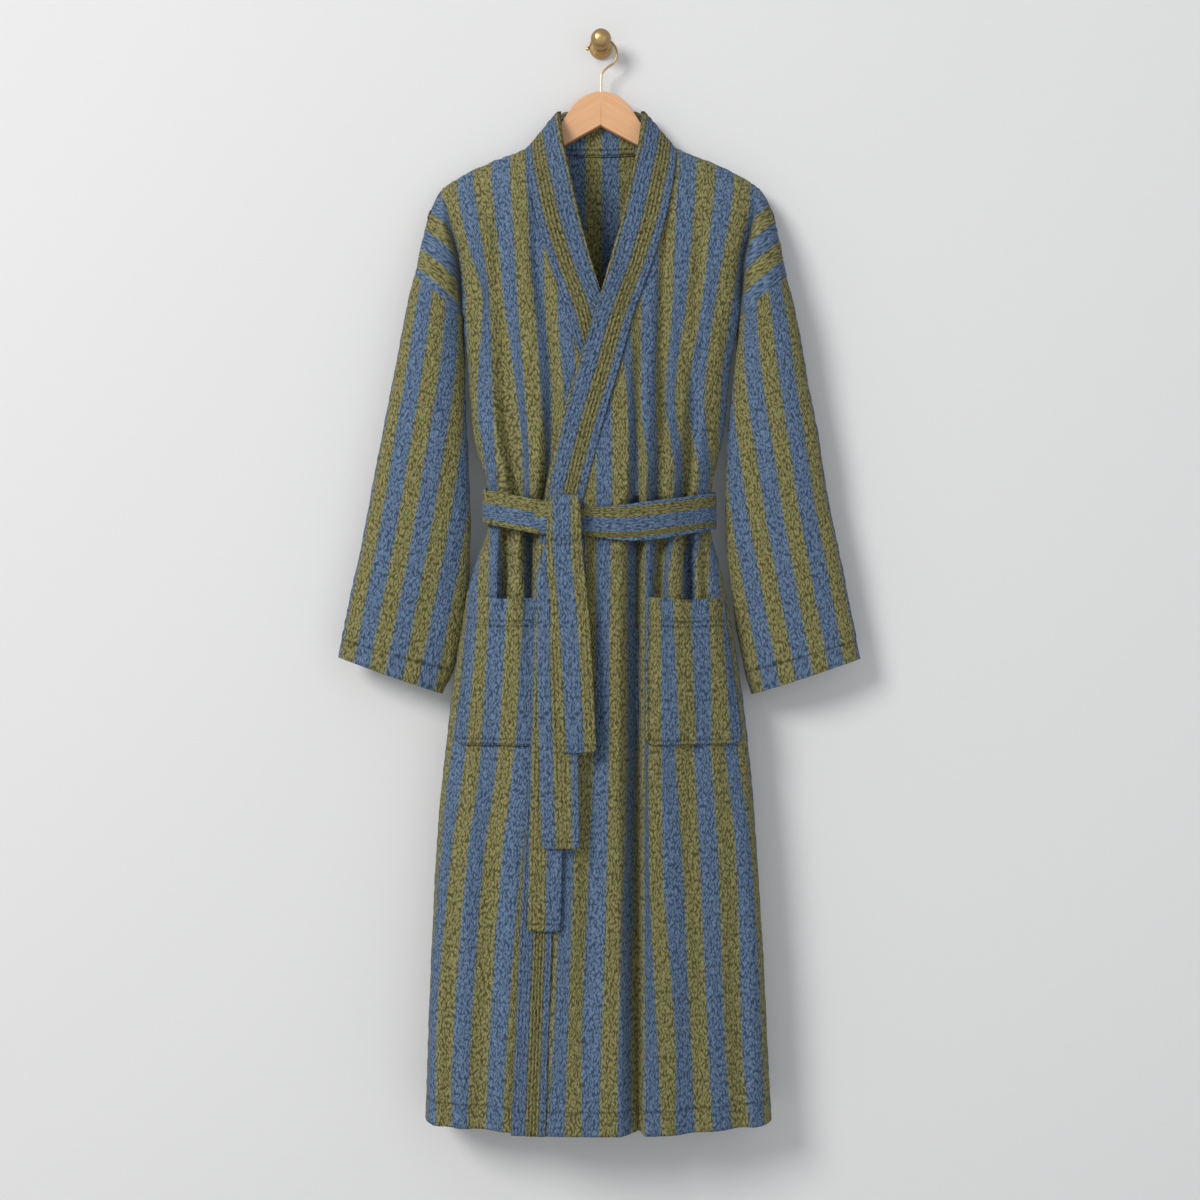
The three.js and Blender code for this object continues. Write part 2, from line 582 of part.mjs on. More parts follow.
// The back, from the right armhole and side seam to the left ones
function backPanel() {
  const share = BACK_SHOULDER;
  const corners = [...SHOULDER.map((_, k) => 1 - shoulderShare(k)), BACK_SIDE_COLUMN];
  corners.sort((a, b) => a - b);
  const neckHalf = NECK_SEAM.slice(1, -1).map((row) => row.x);
  const neckColumns = [...neckHalf.map((x) => -x).reverse(), 0, ...neckHalf];
  const columns = [
    ...corners.map((s) => share * s),
    ...neckColumns.map((x) => mix(share, 1 - share, (x + NECK_X) / (2 * NECK_X))),
    ...corners.map((s) => 1 - share * s).reverse(),
  ];
  const top = (s) => {
    const hand = s < 0.5 ? -1 : 1;
    const v = hand < 0 ? s : 1 - s;
    if (v <= share) {
      const p = shoulderPoint(1 - v / share);
      return { x: hand * p.x, z: p.z, depth: p.depth };
    }
    const x = mix(-NECK_X, NECK_X, (s - share) / (1 - 2 * share));
    return { x, ...neckSeam(x) };
  };
  const upper = armholeRows().map(({ drop, arm }) => columns.map((s) => {
    const p = top(s);
    const flatX = mix(-ARMHOLE_TOP.x, ARMHOLE_TOP.x, s);
    const x = mix(-arm.x, arm.x, s) + (1 - drop) * (p.x - flatX);
    const z = arm.z + (1 - drop) * (p.z - ARMHOLE_TOP.z);
    const off = Math.hypot(Math.abs(x) - arm.x, z - arm.z);
    const miss = arm.back - backDepth(arm.x, arm.z);
    const d = drop === 0 ? p.depth : backDepth(x, z) + miss * (1 - soft(off / ARMHOLE_BLEND));
    return [x, -(d - SEAM_GAP / 2), z];
  }));
  const lower = BACK_BODY_ROWS.map((z) => columns.map((s) => {
    const x = mix(level.right(z), level.left(z), s);
    return [x, -(backDepth(x, z) - SEAM_GAP / 2), z];
  }));
  const last = columns.length - 1;
  const inner = movedIn([...upper, ...lower], CLOTH, TO_WALL, (i, j) => {
    const end = j === 0 || j === last;
    const axis = armholeAxis(j === 0 ? -1 : 1);
    if (i === 0) {
      if (end) return [Y, axis];
      return Math.min(j, last - j) <= SHOULDER.length ? [Y] : [Z];
    }
    if (!end) return [];
    return i < ARMHOLE_ROWS ? [axis] : i === ARMHOLE_ROWS ? [axis, Y] : [Y];
  });
  return shell([...upper, ...lower], inner);
}

// Where the neck seam of the back runs
const neckDepth = curve(NECK_SEAM, 'x', 'depth');
function neckSeam(x) {
  const v = Math.abs(x) / NECK_X;
  return { z: NECK_Z - NECK_DROP * (1 - v * v), depth: neckDepth(Math.abs(x)) };
}

// The collar and front band of one side, from its end behind the neck to the hem.
// Column 0 is the seam and the last column is the free edge.
function frontBand(hand) {
  const across = (from, to) => Array.from({ length: BAND_COLUMNS + 1 }, (_, j) => {
    const v = j / BAND_COLUMNS;
    return from.map((p, k) => mix(p, to[k], v));
  });
  const behind = NECK_SEAM.slice(2, -1).map(({ x, depth }) => {
    const topX = mix(BAND_END_X, COLLAR_TOP_X, (x - BAND_END_X) / (NECK_X - BAND_END_X));
    return across([hand * x, -depth, neckSeam(x).z + SEAM_GAP], [hand * topX, -depth, COLLAR_TOP]);
  });
  const ridge = across(
    [hand * (NECK_X - SEAM_GAP), -SHOULDER[0].depth, NECK_Z + SEAM_GAP],
    [hand * COLLAR_TOP_X, -SHOULDER[0].depth, COLLAR_TOP],
  );
  const front = frontRowZ.slice(1).map((z) => {
    const below = NECK_Z - z;
    const stand = Math.exp(-below / COLLAR_RISE.fade) * (1 - soft(below / COLLAR_RISE.until));
    const rise = COLLAR_RISE.high * stand;
    const edge = -hand * level.edge(z + rise);
    return across([-hand * level.seam(z), 0, z], [edge, 0, z + rise]).map(([x, , zz]) => {
      const shift = hand > 0 ? lap(x, zz) : -under(x, zz);
      return [x, -(frontDepth(x, zz) + shift + BAND_PROUD), zz];
    });
  });
  const outer = [...behind, ridge, ...front];
  const inner = movedIn(outer, BAND, new THREE.Vector3(hand * 0.2, -1, 0.2), (i, j) => {
    if (i === 0) return j === 0 ? [X, Z] : [X];
    if (i === behind.length) return j === 0 ? [Y, Z] : [Y];
    if (j > 0) return [];
    return i < behind.length ? [Z] : [X];
  });
  return shell(outer, inner);
}

// The standing piece behind the neck, between the ends of the two bands
function backNeck() {
  const half = BAND_END_X - SEAM_GAP;
  const outer = Array.from({ length: BAND_BACK_ROWS + 1 }, (_, i) => (
    Array.from({ length: BAND_BACK_COLUMNS + 1 }, (_unused, j) => {
      const x = mix(-half, half, j / BAND_BACK_COLUMNS);
      const seam = neckSeam(x);
      return [x, -seam.depth, mix(COLLAR_TOP, seam.z + SEAM_GAP, i / BAND_BACK_ROWS)];
    })
  ));
  return shell(outer, outer.map((row) => row.map(([x, y, z]) => [x, y - BAND, z])));
}

// One sleeve: rings from the armhole to the cuff
function sleeve(rows, hand) {
  const axis = armholeAxis(hand);
  const ring = (row, thick, first) => Array.from({ length: SLEEVE_SIDES }, (_, j) => {
    const angle = (2 * Math.PI * j) / SLEEVE_SIDES;
    const half = Math.hypot(row.outX - row.inX, row.outZ - row.inZ) / 2;
    const long = ((half - thick) / half) * Math.cos(angle);
    const lean = first ? (valleyDepth(UNDERARM_Z) - ARMHOLE_TOP.depth) / 2 : 0;
    const gap = first ? SLEEVE_GAP : 0;
    return [
      (row.outX + row.inX) / 2 + (long * (row.outX - row.inX)) / 2 + gap * axis.x,
      -(row.middle - lean * Math.cos(angle) + (row.swell - thick) * Math.sin(angle)),
      (row.outZ + row.inZ) / 2 + (long * (row.outZ - row.inZ)) / 2 + gap * axis.z,
    ];
  });
  return shell(
    rows.map((row, i) => ring(row, 0, i === 0)),
    rows.map((row, i) => ring(row, CLOTH, i === 0)),
    true,
  );
}

// One patch pocket, made from its front's points moved out
function pocket(place, hand) {
  const share = Array.from({ length: POCKET_CELLS + 1 }, (_, i) => i / POCKET_CELLS);
  const grid = (gap) => share.map((down) => {
    const zRow = mix(place.mouthZ, place.bottomZ, down);
    const short = POCKET_CORNER * (1 - quarterRound((zRow - place.bottomZ) / POCKET_CORNER_HIGH));
    return share.map((v) => {
      const from = mix(place.mouthIn, place.bottomIn, down) + hand * short;
      const to = mix(place.mouthOut, place.bottomOut, down) - hand * short;
      const x = mix(from, to, v);
      const z = zRow - (1 - down) * POCKET_SAG * Math.sin(Math.PI * v);
      const sides = soft(Math.min(v, 1 - v) / POCKET_SEWN.side);
      const sewn = Math.min(sides, soft((1 - down) / POCKET_SEWN.bottom));
      const pressed = hand > 0 ? 1 : soft((POCKET_PRESSED.clearX - x) / POCKET_PRESSED.fade);
      const shift = hand > 0 ? lap(x, z) : 0;
      const trough = frontEnvelope(x, z) - frontDepth(x, z);
      const swell = sewn * pressed * (POCKET_BULGE * (1 - down) + POCKET_SPANS * trough);
      const slope = (frontDepth(x + SLOPE_REACH, z) - frontDepth(x - SLOPE_REACH, z)) / (2 * SLOPE_REACH);
      const steep = Math.min(POCKET_STEEPEST, Math.hypot(1, slope));
      return [x, -(frontDepth(x, z) + shift + swell + gap * steep), z];
    });
  });
  return shell(grid(POCKET_GAP + POCKET_CLOTH), grid(POCKET_GAP));
}

// Depth that clears both fronts, the band and their folds, for what lies on them
const over = (x, z) => frontEnvelope(x, z) + Math.max(lap(x, z), 1) + BAND_PROUD;

// A flat strap: its path's points, each with the direction across its width and out of its face
function strap(stations, thick, closed) {
  const corner = BELT_CORNER;
  const section = (wide) => {
    const [w, t] = [wide / 2, thick / 2];
    return [[w - corner, t], [w, t - corner], [w, corner - t], [w - corner, -t],
      [corner - w, -t], [-w, corner - t], [-w, t - corner], [corner - w, t]];
  };
  const rings = stations.map(({ at, across, out, wide }) => section(wide).map(([w, t]) => (
    [0, 1, 2].map((k) => at[k] + across[k] * w + out[k] * t)
  )));
  return closed ? loop([...rings, rings[0]]) : loop(rings, true);
}

// A body swept from rings of points: closed on itself, or with an end face at each end
function loop(rings, ends = false) {
  const sides = rings[0].length;
  const count = ends ? rings.length : rings.length - 1;
  const points = rings.slice(0, count).flat();
  const index = [];
  for (let i = 0; i < rings.length - 1; i += 1) {
    for (let j = 0; j < sides; j += 1) {
      const [a, b] = [i * sides + j, i * sides + ((j + 1) % sides)];
      const [c, d] = [a, b].map((k) => (k + sides) % points.length);
      index.push(a, b, d, a, d, c);
    }
  }
  if (ends) {
    const base = (count - 1) * sides;
    for (let j = 1; j + 1 < sides; j += 1) {
      index.push(0, j + 1, j, base, base + j, base + j + 1);
    }
  }
  return outward(points, index);
}

// The belt round the waist, clear of the cloth it draws in
function beltRing() {
  const frontZ = curve(BELT_FRONT, 'x', 'z');
  const frontWide = curve(BELT_FRONT, 'x', 'wide');
  const plan = [];
  for (let k = 0; k < BELT_HALF; k += 1) {
    const angle = (Math.PI * (k + 0.5)) / BELT_HALF;
    const reach = Math.cos(angle) > 0 ? level.left(WAIST_Z) : -level.right(WAIST_Z);
    const x = Math.cos(angle) * reach;
    plan.push([x + Math.cos(angle) * BELT_SIDE, -over(x, WAIST_Z), true]);
  }
  for (let k = 0; k < BELT_HALF / 2; k += 1) {
    const angle = (2 * Math.PI * (k + 0.5)) / BELT_HALF;
    const reach = Math.cos(angle) < 0 ? level.left(WAIST_Z) : -level.right(WAIST_Z);
    const side = quarterRound(((1 - Math.abs(Math.cos(angle))) * reach) / BACK_ROUND);
    const depth = mix(valleyDepth(WAIST_Z), level.back(WAIST_Z), side);
    plan.push([-Math.cos(angle) * (reach + BELT_SIDE), -depth, false]);
  }
  const away = BELT_GAP + BELT_THICK / 2;
  const stations = plan.map(([x, y, front], k) => {
    const before = plan[(k + plan.length - 1) % plan.length];
    const after = plan[(k + 1) % plan.length];
    const [dx, dy] = [after[0] - before[0], after[1] - before[1]];
    const size = Math.hypot(dx, dy);
    const out = [-dy / size, dx / size, 0];
    const end = x < 0 ? BELT_FRONT[0] : BELT_FRONT[BELT_FRONT.length - 1];
    const z = front ? frontZ(x) : mix(BELT_BACK_Z, end.z, (x / end.x) ** 2);
    return {
      at: [x + out[0] * away, y + out[1] * away, z],
      across: [0, 0, 1],
      out,
      wide: front ? frontWide(x) : BELT_WIDE,
    };
  });
  return strap(stations, BELT_THICK, true);
}

// The knot that sits on the belt: a pillow with a flat back
function beltKnot() {
  const rings = KNOT_RINGS.map(({ out, size }) => Array.from({ length: KNOT_SIDES }, (_, j) => {
    const angle = (2 * Math.PI * j) / KNOT_SIDES;
    const x = KNOT.x + KNOT.halfX * size * Math.cos(angle);
    const z = KNOT.z + KNOT.halfZ * size * Math.sin(angle);
    return [x, -(over(x, WAIST_Z) + mix(KNOT.back, KNOT.front, out)), z];
  }));
  return loop(rings, true);
}

// A hanging end of the belt
function beltTail({ lift, rows }, wraps) {
  const middle = curve(rows, 'z', 'x');
  const wide = curve(rows, 'z', 'wide');
  const [from, to] = [rows[0].z, rows[rows.length - 1].z];
  const count = Math.ceil((from - to) / TAIL_STEP);
  const stations = Array.from({ length: count + 1 }, (_, k) => {
    const z = mix(from, to, k / count);
    const x = middle(z);
    const knot = wraps ? 1 - soft((KNOT_DROP.from - z) / KNOT_DROP.high) : 0;
    const lean = (over(x + TAIL_REACH, z) - over(x - TAIL_REACH, z)) / (2 * TAIL_REACH);
    const size = Math.hypot(1, lean);
    const depth = over(x, Math.min(z, WAIST_Z)) + lift + BELT_THICK / 2 + knot * KNOT_LIFT;
    return {
      at: [x, -depth, z],
      across: [1 / size, -lean / size, 0],
      out: [-lean / size, -1 / size, 0],
      wide: wide(z),
    };
  });
  return strap(stations, BELT_THICK, false);
}

// One half of the wooden hanger
function hangerHalf(hand) {
  const arch = Array.from({ length: 7 }, (_, k) => {
    const angle = Math.PI / 2 + THREE.MathUtils.degToRad(HANGER.archTurn) * (k / 6);
    return [HANGER.archR * Math.cos(angle), HANGER.archZ + HANGER.archR * Math.sin(angle)];
  });
  const outline = [...arch, ...HANGER_TOP, ...HANGER_END, ...HANGER_UNDER];
  const shape = new THREE.Shape(
    outline.map(([x, z]) => new THREE.Vector2(Math.min(x, -HANGER.mitre), z)),
  );
  const bevel = HANGER.bevel;
  const flat = new THREE.ExtrudeGeometry(shape, {
    depth: HANGER.thick - 2 * bevel,
    bevelEnabled: true,
    bevelThickness: bevel,
    bevelSize: bevel,
    bevelOffset: -bevel,
    bevelSegments: 1,
  });
  flat.rotateX(Math.PI / 2);
  flat.translate(0, -HANGER.middle + HANGER.thick / 2 - bevel, 0);
  return hand < 0 ? flat : mirrored(flat);
}

// The same geometry on the other side of the middle
function mirrored(geometry) {
  const other = geometry.clone().scale(-1, 1, 1);
  const p = other.getAttribute('position');
  const [a, b] = [new THREE.Vector3(), new THREE.Vector3()];
  for (let k = 0; k < p.count; k += 3) {
    a.fromBufferAttribute(p, k + 1);
    b.fromBufferAttribute(p, k + 2);
    p.setXYZ(k + 1, b.x, b.y, b.z);
    p.setXYZ(k + 2, a.x, a.y, a.z);
  }
  other.computeVertexNormals();
  return other;
}

// The wire hook: up from the wood, across, and round over the neck of the knob to a small ball
function hangerHook() {
  const path = HOOK_STEM.map(([x, z]) => [x, z, HOOK.wire]);
  const arc = (angle, along, r) => [
    HOOK.x + HOOK.radius * Math.cos(angle) - along * Math.sin(angle),
    HOOK.z + HOOK.radius * Math.sin(angle) + along * Math.cos(angle),
    r,
  ];
  const turn = (v) => THREE.MathUtils.degToRad(mix(HOOK.from, HOOK.to, v));
  for (let k = 0; k <= HOOK_STEPS; k += 1) path.push(arc(turn(k / HOOK_STEPS), 0, HOOK.wire));
  for (const { along, r } of HOOK_BALL) path.push(arc(turn(1), along, r));
  const rings = path.map(([x, z, r], k) => {
    const [a, b] = [path[Math.max(0, k - 1)], path[Math.min(path.length - 1, k + 1)]];
    const size = Math.hypot(b[0] - a[0], b[1] - a[1]);
    const side = [-(b[1] - a[1]) / size, (b[0] - a[0]) / size];
    return Array.from({ length: HOOK_SIDES }, (_, j) => {
      const angle = (2 * Math.PI * j) / HOOK_SIDES;
      const w = r * Math.cos(angle);
      return [x + side[0] * w, -HANGER.middle + r * Math.sin(angle), z + side[1] * w];
    });
  });
  return loop(rings, true);
}

// Turned pieces of the knob: profiles of radius and depth, turned about the knob's axis
function turned(profile, segments) {
  const points = profile.map(([r, depth]) => new THREE.Vector2(r, -depth));
  return new THREE.LatheGeometry(points, segments);
}
function wallKnob() {
  const profile = [[0, BALL.depth + BALL.radius]];
  const back = Math.asin(NECK_R / BALL.radius);
  for (let k = 1; k <= BALL.steps; k += 1) {
    const angle = mix(Math.PI, back, k / BALL.steps);
    profile.push([BALL.radius * Math.sin(angle), BALL.depth - BALL.radius * Math.cos(angle)]);
  }
  return turned([...profile, ...KNOB_FOOT], 20);
}
function wallRose() {
  return turned(ROSE, 28);
}

// Materials
const FLEECE_BLUE = new THREE.MeshStandardMaterial({ color: '#5b6f88', roughness: 0.95, metalness: 0 });
const FLEECE_OLIVE = new THREE.MeshStandardMaterial({ color: '#75714a', roughness: 0.95, metalness: 0 });
const BEECH = new THREE.MeshStandardMaterial({ color: '#dda87b', roughness: 0.5, metalness: 0 });
const BRASS = new THREE.MeshStandardMaterial({ color: '#b8935a', roughness: 0.32, metalness: 1 });

const robe = new THREE.Group();
function add(name, geometry, material) {
  const mesh = new THREE.Mesh(geometry, material);
  mesh.name = name;
  robe.add(mesh);
}

add('wall_rose', wallRose(), BRASS);
add('wall_knob', wallKnob(), BRASS);
add('hanger_hook', hangerHook(), BRASS);
add('hanger_right', hangerHalf(-1), BEECH);
add('hanger_left', hangerHalf(1), BEECH);
add('back_panel', backPanel(), FLEECE_BLUE);
add('front_right', frontPanel(-1), FLEECE_BLUE);
add('front_left', frontPanel(1), FLEECE_BLUE);
add('band_right', frontBand(-1), FLEECE_OLIVE);
add('band_left', frontBand(1), FLEECE_OLIVE);
add('band_back_neck', backNeck(), FLEECE_OLIVE);
add('sleeve_right', sleeve(SLEEVES.right, -1), FLEECE_BLUE);
add('sleeve_left', sleeve(SLEEVES.left, 1), FLEECE_BLUE);
add('pocket_right', pocket(POCKETS.right, -1), FLEECE_OLIVE);
add('pocket_left', pocket(POCKETS.left, 1), FLEECE_OLIVE);
add('belt_waist', beltRing(), FLEECE_OLIVE);
add('belt_knot', beltKnot(), FLEECE_OLIVE);
for (const [name, tail] of Object.entries(TAILS)) {
  add(name, beltTail(tail, name === 'belt_tail_front'), FLEECE_OLIVE);
}

export default robe;
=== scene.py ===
"""A striped fleece bathrobe, tied at the waist, on a wooden hanger that hangs from a wall knob.

Lengths are worked out in millimetres, in the frame of the CAD model, and become metres when a mesh
is made. A depth is the distance from the wall, so a point of depth d lies at y = -d.
"""
import math

import bmesh
import bpy
import numpy as np
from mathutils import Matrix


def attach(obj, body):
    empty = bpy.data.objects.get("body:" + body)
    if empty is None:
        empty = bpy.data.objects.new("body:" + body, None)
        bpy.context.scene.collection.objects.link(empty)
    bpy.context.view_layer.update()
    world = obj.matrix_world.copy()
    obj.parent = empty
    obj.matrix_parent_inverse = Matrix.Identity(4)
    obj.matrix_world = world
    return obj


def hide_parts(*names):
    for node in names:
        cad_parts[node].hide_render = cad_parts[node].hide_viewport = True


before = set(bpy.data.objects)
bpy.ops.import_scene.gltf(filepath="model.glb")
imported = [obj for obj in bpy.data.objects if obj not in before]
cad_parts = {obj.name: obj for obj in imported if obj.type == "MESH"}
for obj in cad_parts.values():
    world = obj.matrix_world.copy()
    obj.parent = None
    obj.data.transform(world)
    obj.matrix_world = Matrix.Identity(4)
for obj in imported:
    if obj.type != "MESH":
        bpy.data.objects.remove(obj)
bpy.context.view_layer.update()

MM = 0.001

# Cloth and seams, as in the CAD model
CLOTH = 2.5
BAND = 5.0
BAND_PROUD = 2.3
LAP = {"lift": 9, "clear": 6, "fade": 44}
UNDER = {"drop": 24, "clear": 10, "fade": 35}
NECK_Z, UNDERARM_Z, HEM_Z = -139, -363, -1391
NECK_X, UNDERARM_X, NECK_DROP = 98, 178, 8
SIDE_ROUND, BACK_ROUND, SHOULDER_ROUND = 30, 34, 105
ARM_ROUND, BACK_SHOULDER_ROUND, ARM_FROM = 42, 10, 206
ARM_DEPTH, ARMHOLE_SWELL, ARMHOLE_BLEND = 72, 32, 40
COLLAR_TOP, COLLAR_TOP_X, BAND_END_X = -97, 60, 44
COLLAR_RISE = {"high": 42, "fade": 75, "until": 260}
# How far the visible collar stands above the CAD model's: behind the neck, and at its front peaks
COLLAR_PILE = {"back": 9, "peak": 4}

# Height, right and left side, band seam and free edge of the right front, depth in the middle and
# near the side, depth of the back
LEVEL_NAMES = ("z", "right", "left", "seam", "edge", "middle", "flank", "back")
LEVELS = [
    (-97, -196, 196, -98, -56, 62, 62, 8),
    (-139, -196, 196, -98, -49, 66, 64, 8),
    (-215, -198, 197, -88, -33, 72, 66, 8),
    (-290, -184, 183, -68, -14, 78, 66, 9),
    (-363, -178, 178, -42, 8, 84, 64, 10),
    (-430, -171, 167, -24, 29, 88, 62, 11),
    (-520, -163, 156, 2, 56, 94, 64, 14),
    (-575, -147, 144, 16, 68, 99, 66, 17),
    (-606, -143, 140, 24, 73, 100, 66, 17),
    (-637, -146, 142, 29, 76, 100, 66, 17),
    (-670, -158, 149, 33, 78, 101, 68, 15),
    (-720, -172, 161, 36, 80, 102, 70, 12),
    (-860, -193, 183, 44, 86, 106, 74, 11),
    (-1060, -212, 201, 57, 97, 113, 80, 11),
    (-1391, -226, 219, 69, 112, 122, 86, 12),
]
VALLEY = [(-139, 64), (-215, 62), (-290, 54), (-363, 46), (-606, 49), (-1391, 50)]

# The shoulder seam: x, z, depth
SHOULDER = [
    (98, -139, 20), (140, -155, 20), (190, -180, 20), (206, -191.5, 21),
    (216, -208, 24), (228, -246, 30), (240, -308, 38),
]
TIP_X, TIP_Z, TIP_DEPTH = SHOULDER[-1]
NECK_SEAM = [(0, 8), (22, 8), (44, 8), (80, 8.5), (92, 10.5), (98, 20)]

# Folds: top, end, x at the top, half way and end, half the width, that to the left where it is
# steeper, depth at the top, half way and end
FRONT_FOLDS = [
    (-360, -606, (-124, -121, -102), 17, 17, (3, 10, 16)),
    (-290, -606, (-79, -63, -70), 15, 15, (2, 8, 13)),
    (-530, -606, (-138, -130, -122), 9, 9, (2, 5, 6)),
    (-320, -606, (77, 76, 69), 15, 15, (2, 9, 14)),
    (-400, -606, (47, 45, 43), 12, 12, (2, 8, 10)),
    (-430, -606, (118, 114, 102), 14, 14, (2, 9, 14)),
    (-606, -732, (-89, -90, -90), 15, 15, (15, 12, 2)),
    (-606, -790, (-117, -120, -123), 13, 13, (12, 9, 1)),
    (-606, -800, (77, 78, 80), 12, 12, (11, 8, 1)),
    (-606, -790, (107, 111, 115), 13, 13, (13, 10, 1)),
    (-606, -780, (130, 134, 140), 10, 10, (6, 5, 1)),
    (-606, -1391, (45, 42, 44), 21, 12, (11, 21, 13)),
    (-760, -1300, (-16, -14, -18), 22, 22, (3, 5, 2)),
    (-780, -1391, (104, 112, 118), 30, 30, (2, 5, 6)),
    (-850, -1391, (160, 170, 176), 24, 24, (2, 4, 5)),
    (-800, -1391, (-128, -140, -150), 30, 30, (2, 5, 6)),
    (-900, -1391, (-180, -188, -194), 20, 20, (1, 4, 4)),
]
BACK_FOLDS = [
    (-400, -606, (-112, -108, -98), 18, 18, (2, 6, 9)),
    (-360, -606, (-52, -52, -54), 18, 18, (2, 6, 9)),
    (-420, -606, (-6, -6, -8), 17, 17, (1, 5, 8)),
    (-370, -606, (48, 46, 42), 18, 18, (2, 6, 9)),
    (-400, -606, (108, 104, 94), 18, 18, (2, 6, 9)),
    (-606, -820, (-98, -104, -112), 18, 18, (9, 7, 1)),
    (-606, -1391, (-54, -60, -70), 26, 26, (9, 8, 6)),
    (-606, -800, (-8, -6, -4), 17, 17, (8, 6, 1)),
    (-606, -1391, (42, 50, 62), 26, 26, (9, 8, 6)),
    (-606, -820, (94, 102, 110), 18, 18, (9, 7, 1)),
    (-850, -1391, (-140, -148, -156), 30, 30, (2, 6, 7)),
    (-850, -1391, (136, 144, 150), 30, 30, (2, 6, 7)),
]
FOLD_FADE = 14
# How much deeper the folds of the visible fronts are, and how far from the band that sets in
FOLD_EXTRA = {"share": 0.5, "clear": 26}

# Where the visible cloth goes deeper than the CAD model's: the open mouths of the pockets and the
# long crease down the skirt
CREASES = [
    (-200, -400, (-84, -80, -72), 15, 13, (0, 8, 1)),
    (-215, -380, (-132, -132, -127), 14, 14, (0, 5, 0)),
    (-215, -400, (84, 80, 76), 13, 14, (0, 7, 1)),
    (-230, -400, (126, 124, 119), 13, 13, (0, 5, 0)),
    (-620, -790, (-125, -124, -123), 9, 9, (0, 15, 0)),
    (-620, -790, (-90, -89, -90), 9, 9, (0, 15, 0)),
    (-620, -790, (70, 70, 70), 10, 10, (0, 15, 0)),
    (-620, -790, (110, 110, 111), 9, 9, (0, 14, 0)),
    (-630, -1391, (49, 48.5, 49), 7, 6, (12, 17, 12)),
]

# Sleeves: outer edge, inner edge (x and z of each), middle of the tube, swell
SLEEVES = {
    "right": [
        (-240, -308, -178, -363, 42, 32), (-247, -335, -177.5, -383, 43, 31),
        (-256, -378, -175.5, -415, 43, 30), (-270, -450, -174, -480, 43, 28),
        (-285, -527, -171, -556, 43, 27), (-299, -604, -168.5, -632, 42, 26),
        (-312, -668, -170, -698, 42, 25), (-325, -730, -178, -762, 41, 24),
        (-334, -774, -190, -814, 41, 23), (-339, -800, -205, -847, 40, 22),
    ],
    "left": [
        (240, -308, 178, -363, 42, 32), (246, -335, 176.5, -383, 43, 31),
        (255, -378, 173, -415, 43, 30), (268, -450, 166.5, -480, 43, 28),
        (282, -527, 161.5, -556, 43, 27), (295, -604, 161, -632, 42, 26),
        (308, -668, 166, -698, 42, 25), (320, -730, 175, -762, 41, 24),
        (329, -774, 184, -814, 41, 23), (334, -802, 194, -848, 40, 22),
    ],
}

POCKET_GAP, POCKET_CLOTH, POCKET_BULGE = 1.2, 2.3, 9
POCKET_CORNER, POCKET_CORNER_HIGH, POCKET_SAG = 10, 16, 4
POCKET_PRESSED = {"clear": -88, "fade": 20}
POCKET_SPANS, POCKET_STEEPEST = 0.75, 2.4
POCKET_HEM = 8
# The shares of a pocket over which its sides and its bottom are drawn down to their stitches
POCKET_SEWN = {"side": 0.2, "bottom": 0.25}
# Half the length that a slope is taken over: under a pocket, and under a tail of the belt
SLOPE_REACH, TAIL_REACH = 4, 12
POCKET_NAMES = ("mouth_in", "mouth_out", "bottom_in", "bottom_out", "mouth_z", "bottom_z")
POCKETS = {
    "right": (-62, -166, -58, -187, -721, -909),
    "left": (56, 157, 55, 181, -722, -908),
}

BELT_THICK, BELT_WIDE, BELT_GAP, BELT_SIDE = 5, 47, 2, 1.5
BELT_FRONT = [
    (-153, -606, 43), (-66, -624, 43), (-22, -629, 35), (24, -630, 44), (61, -627, 49),
    (148, -612, 46),
]
BELT_BACK_Z, WAIST_Z = -600, -606
# The crease that the knot pulls into the belt: from and to which x, its height there, its size
PINCH = {"from": -24, "to": 26, "low": -1, "high": 7, "deep": 4.2, "half": 3.4}
# How far from its ends a strap rounds its corners, and how narrow it is at the very end
STRAP_END = {"high": 6, "narrow": 0.84}
# The turn of the belt over the knot: how high it is, and how far it goes back
WRAP_TURN = {"high": 13, "back": 18.5, "round": 11, "narrow": 0.62}

# Hanging ends of the belt: lift, then z, x and width down its length
TAILS = {
    "belt_tail_back": (1.5, [(-656, -58, 40), (-760, -62, 43), (-937, -67, 42), (-1137, -71, 42)]),
    "belt_tail_middle": (7.2, [(-656, -50, 40), (-700, -56, 47), (-800, -56, 48),
                               (-906, -53, 48), (-1034, -50, 47)]),
    "belt_tail_front": (13, [(-596, -46, 38), (-656, -45.5, 45), (-760, -37, 47), (-915, -29, 47)]),
}
KNOT = {"x": -56, "z": -626, "half_x": 28, "half_z": 22, "back": 8.6, "front": 21}
KNOT_LIFT = KNOT["front"] - TAILS["belt_tail_front"][0] + 0.4
KNOT_DROP = {"from": KNOT["z"] - KNOT["half_z"] + 8, "high": 22}

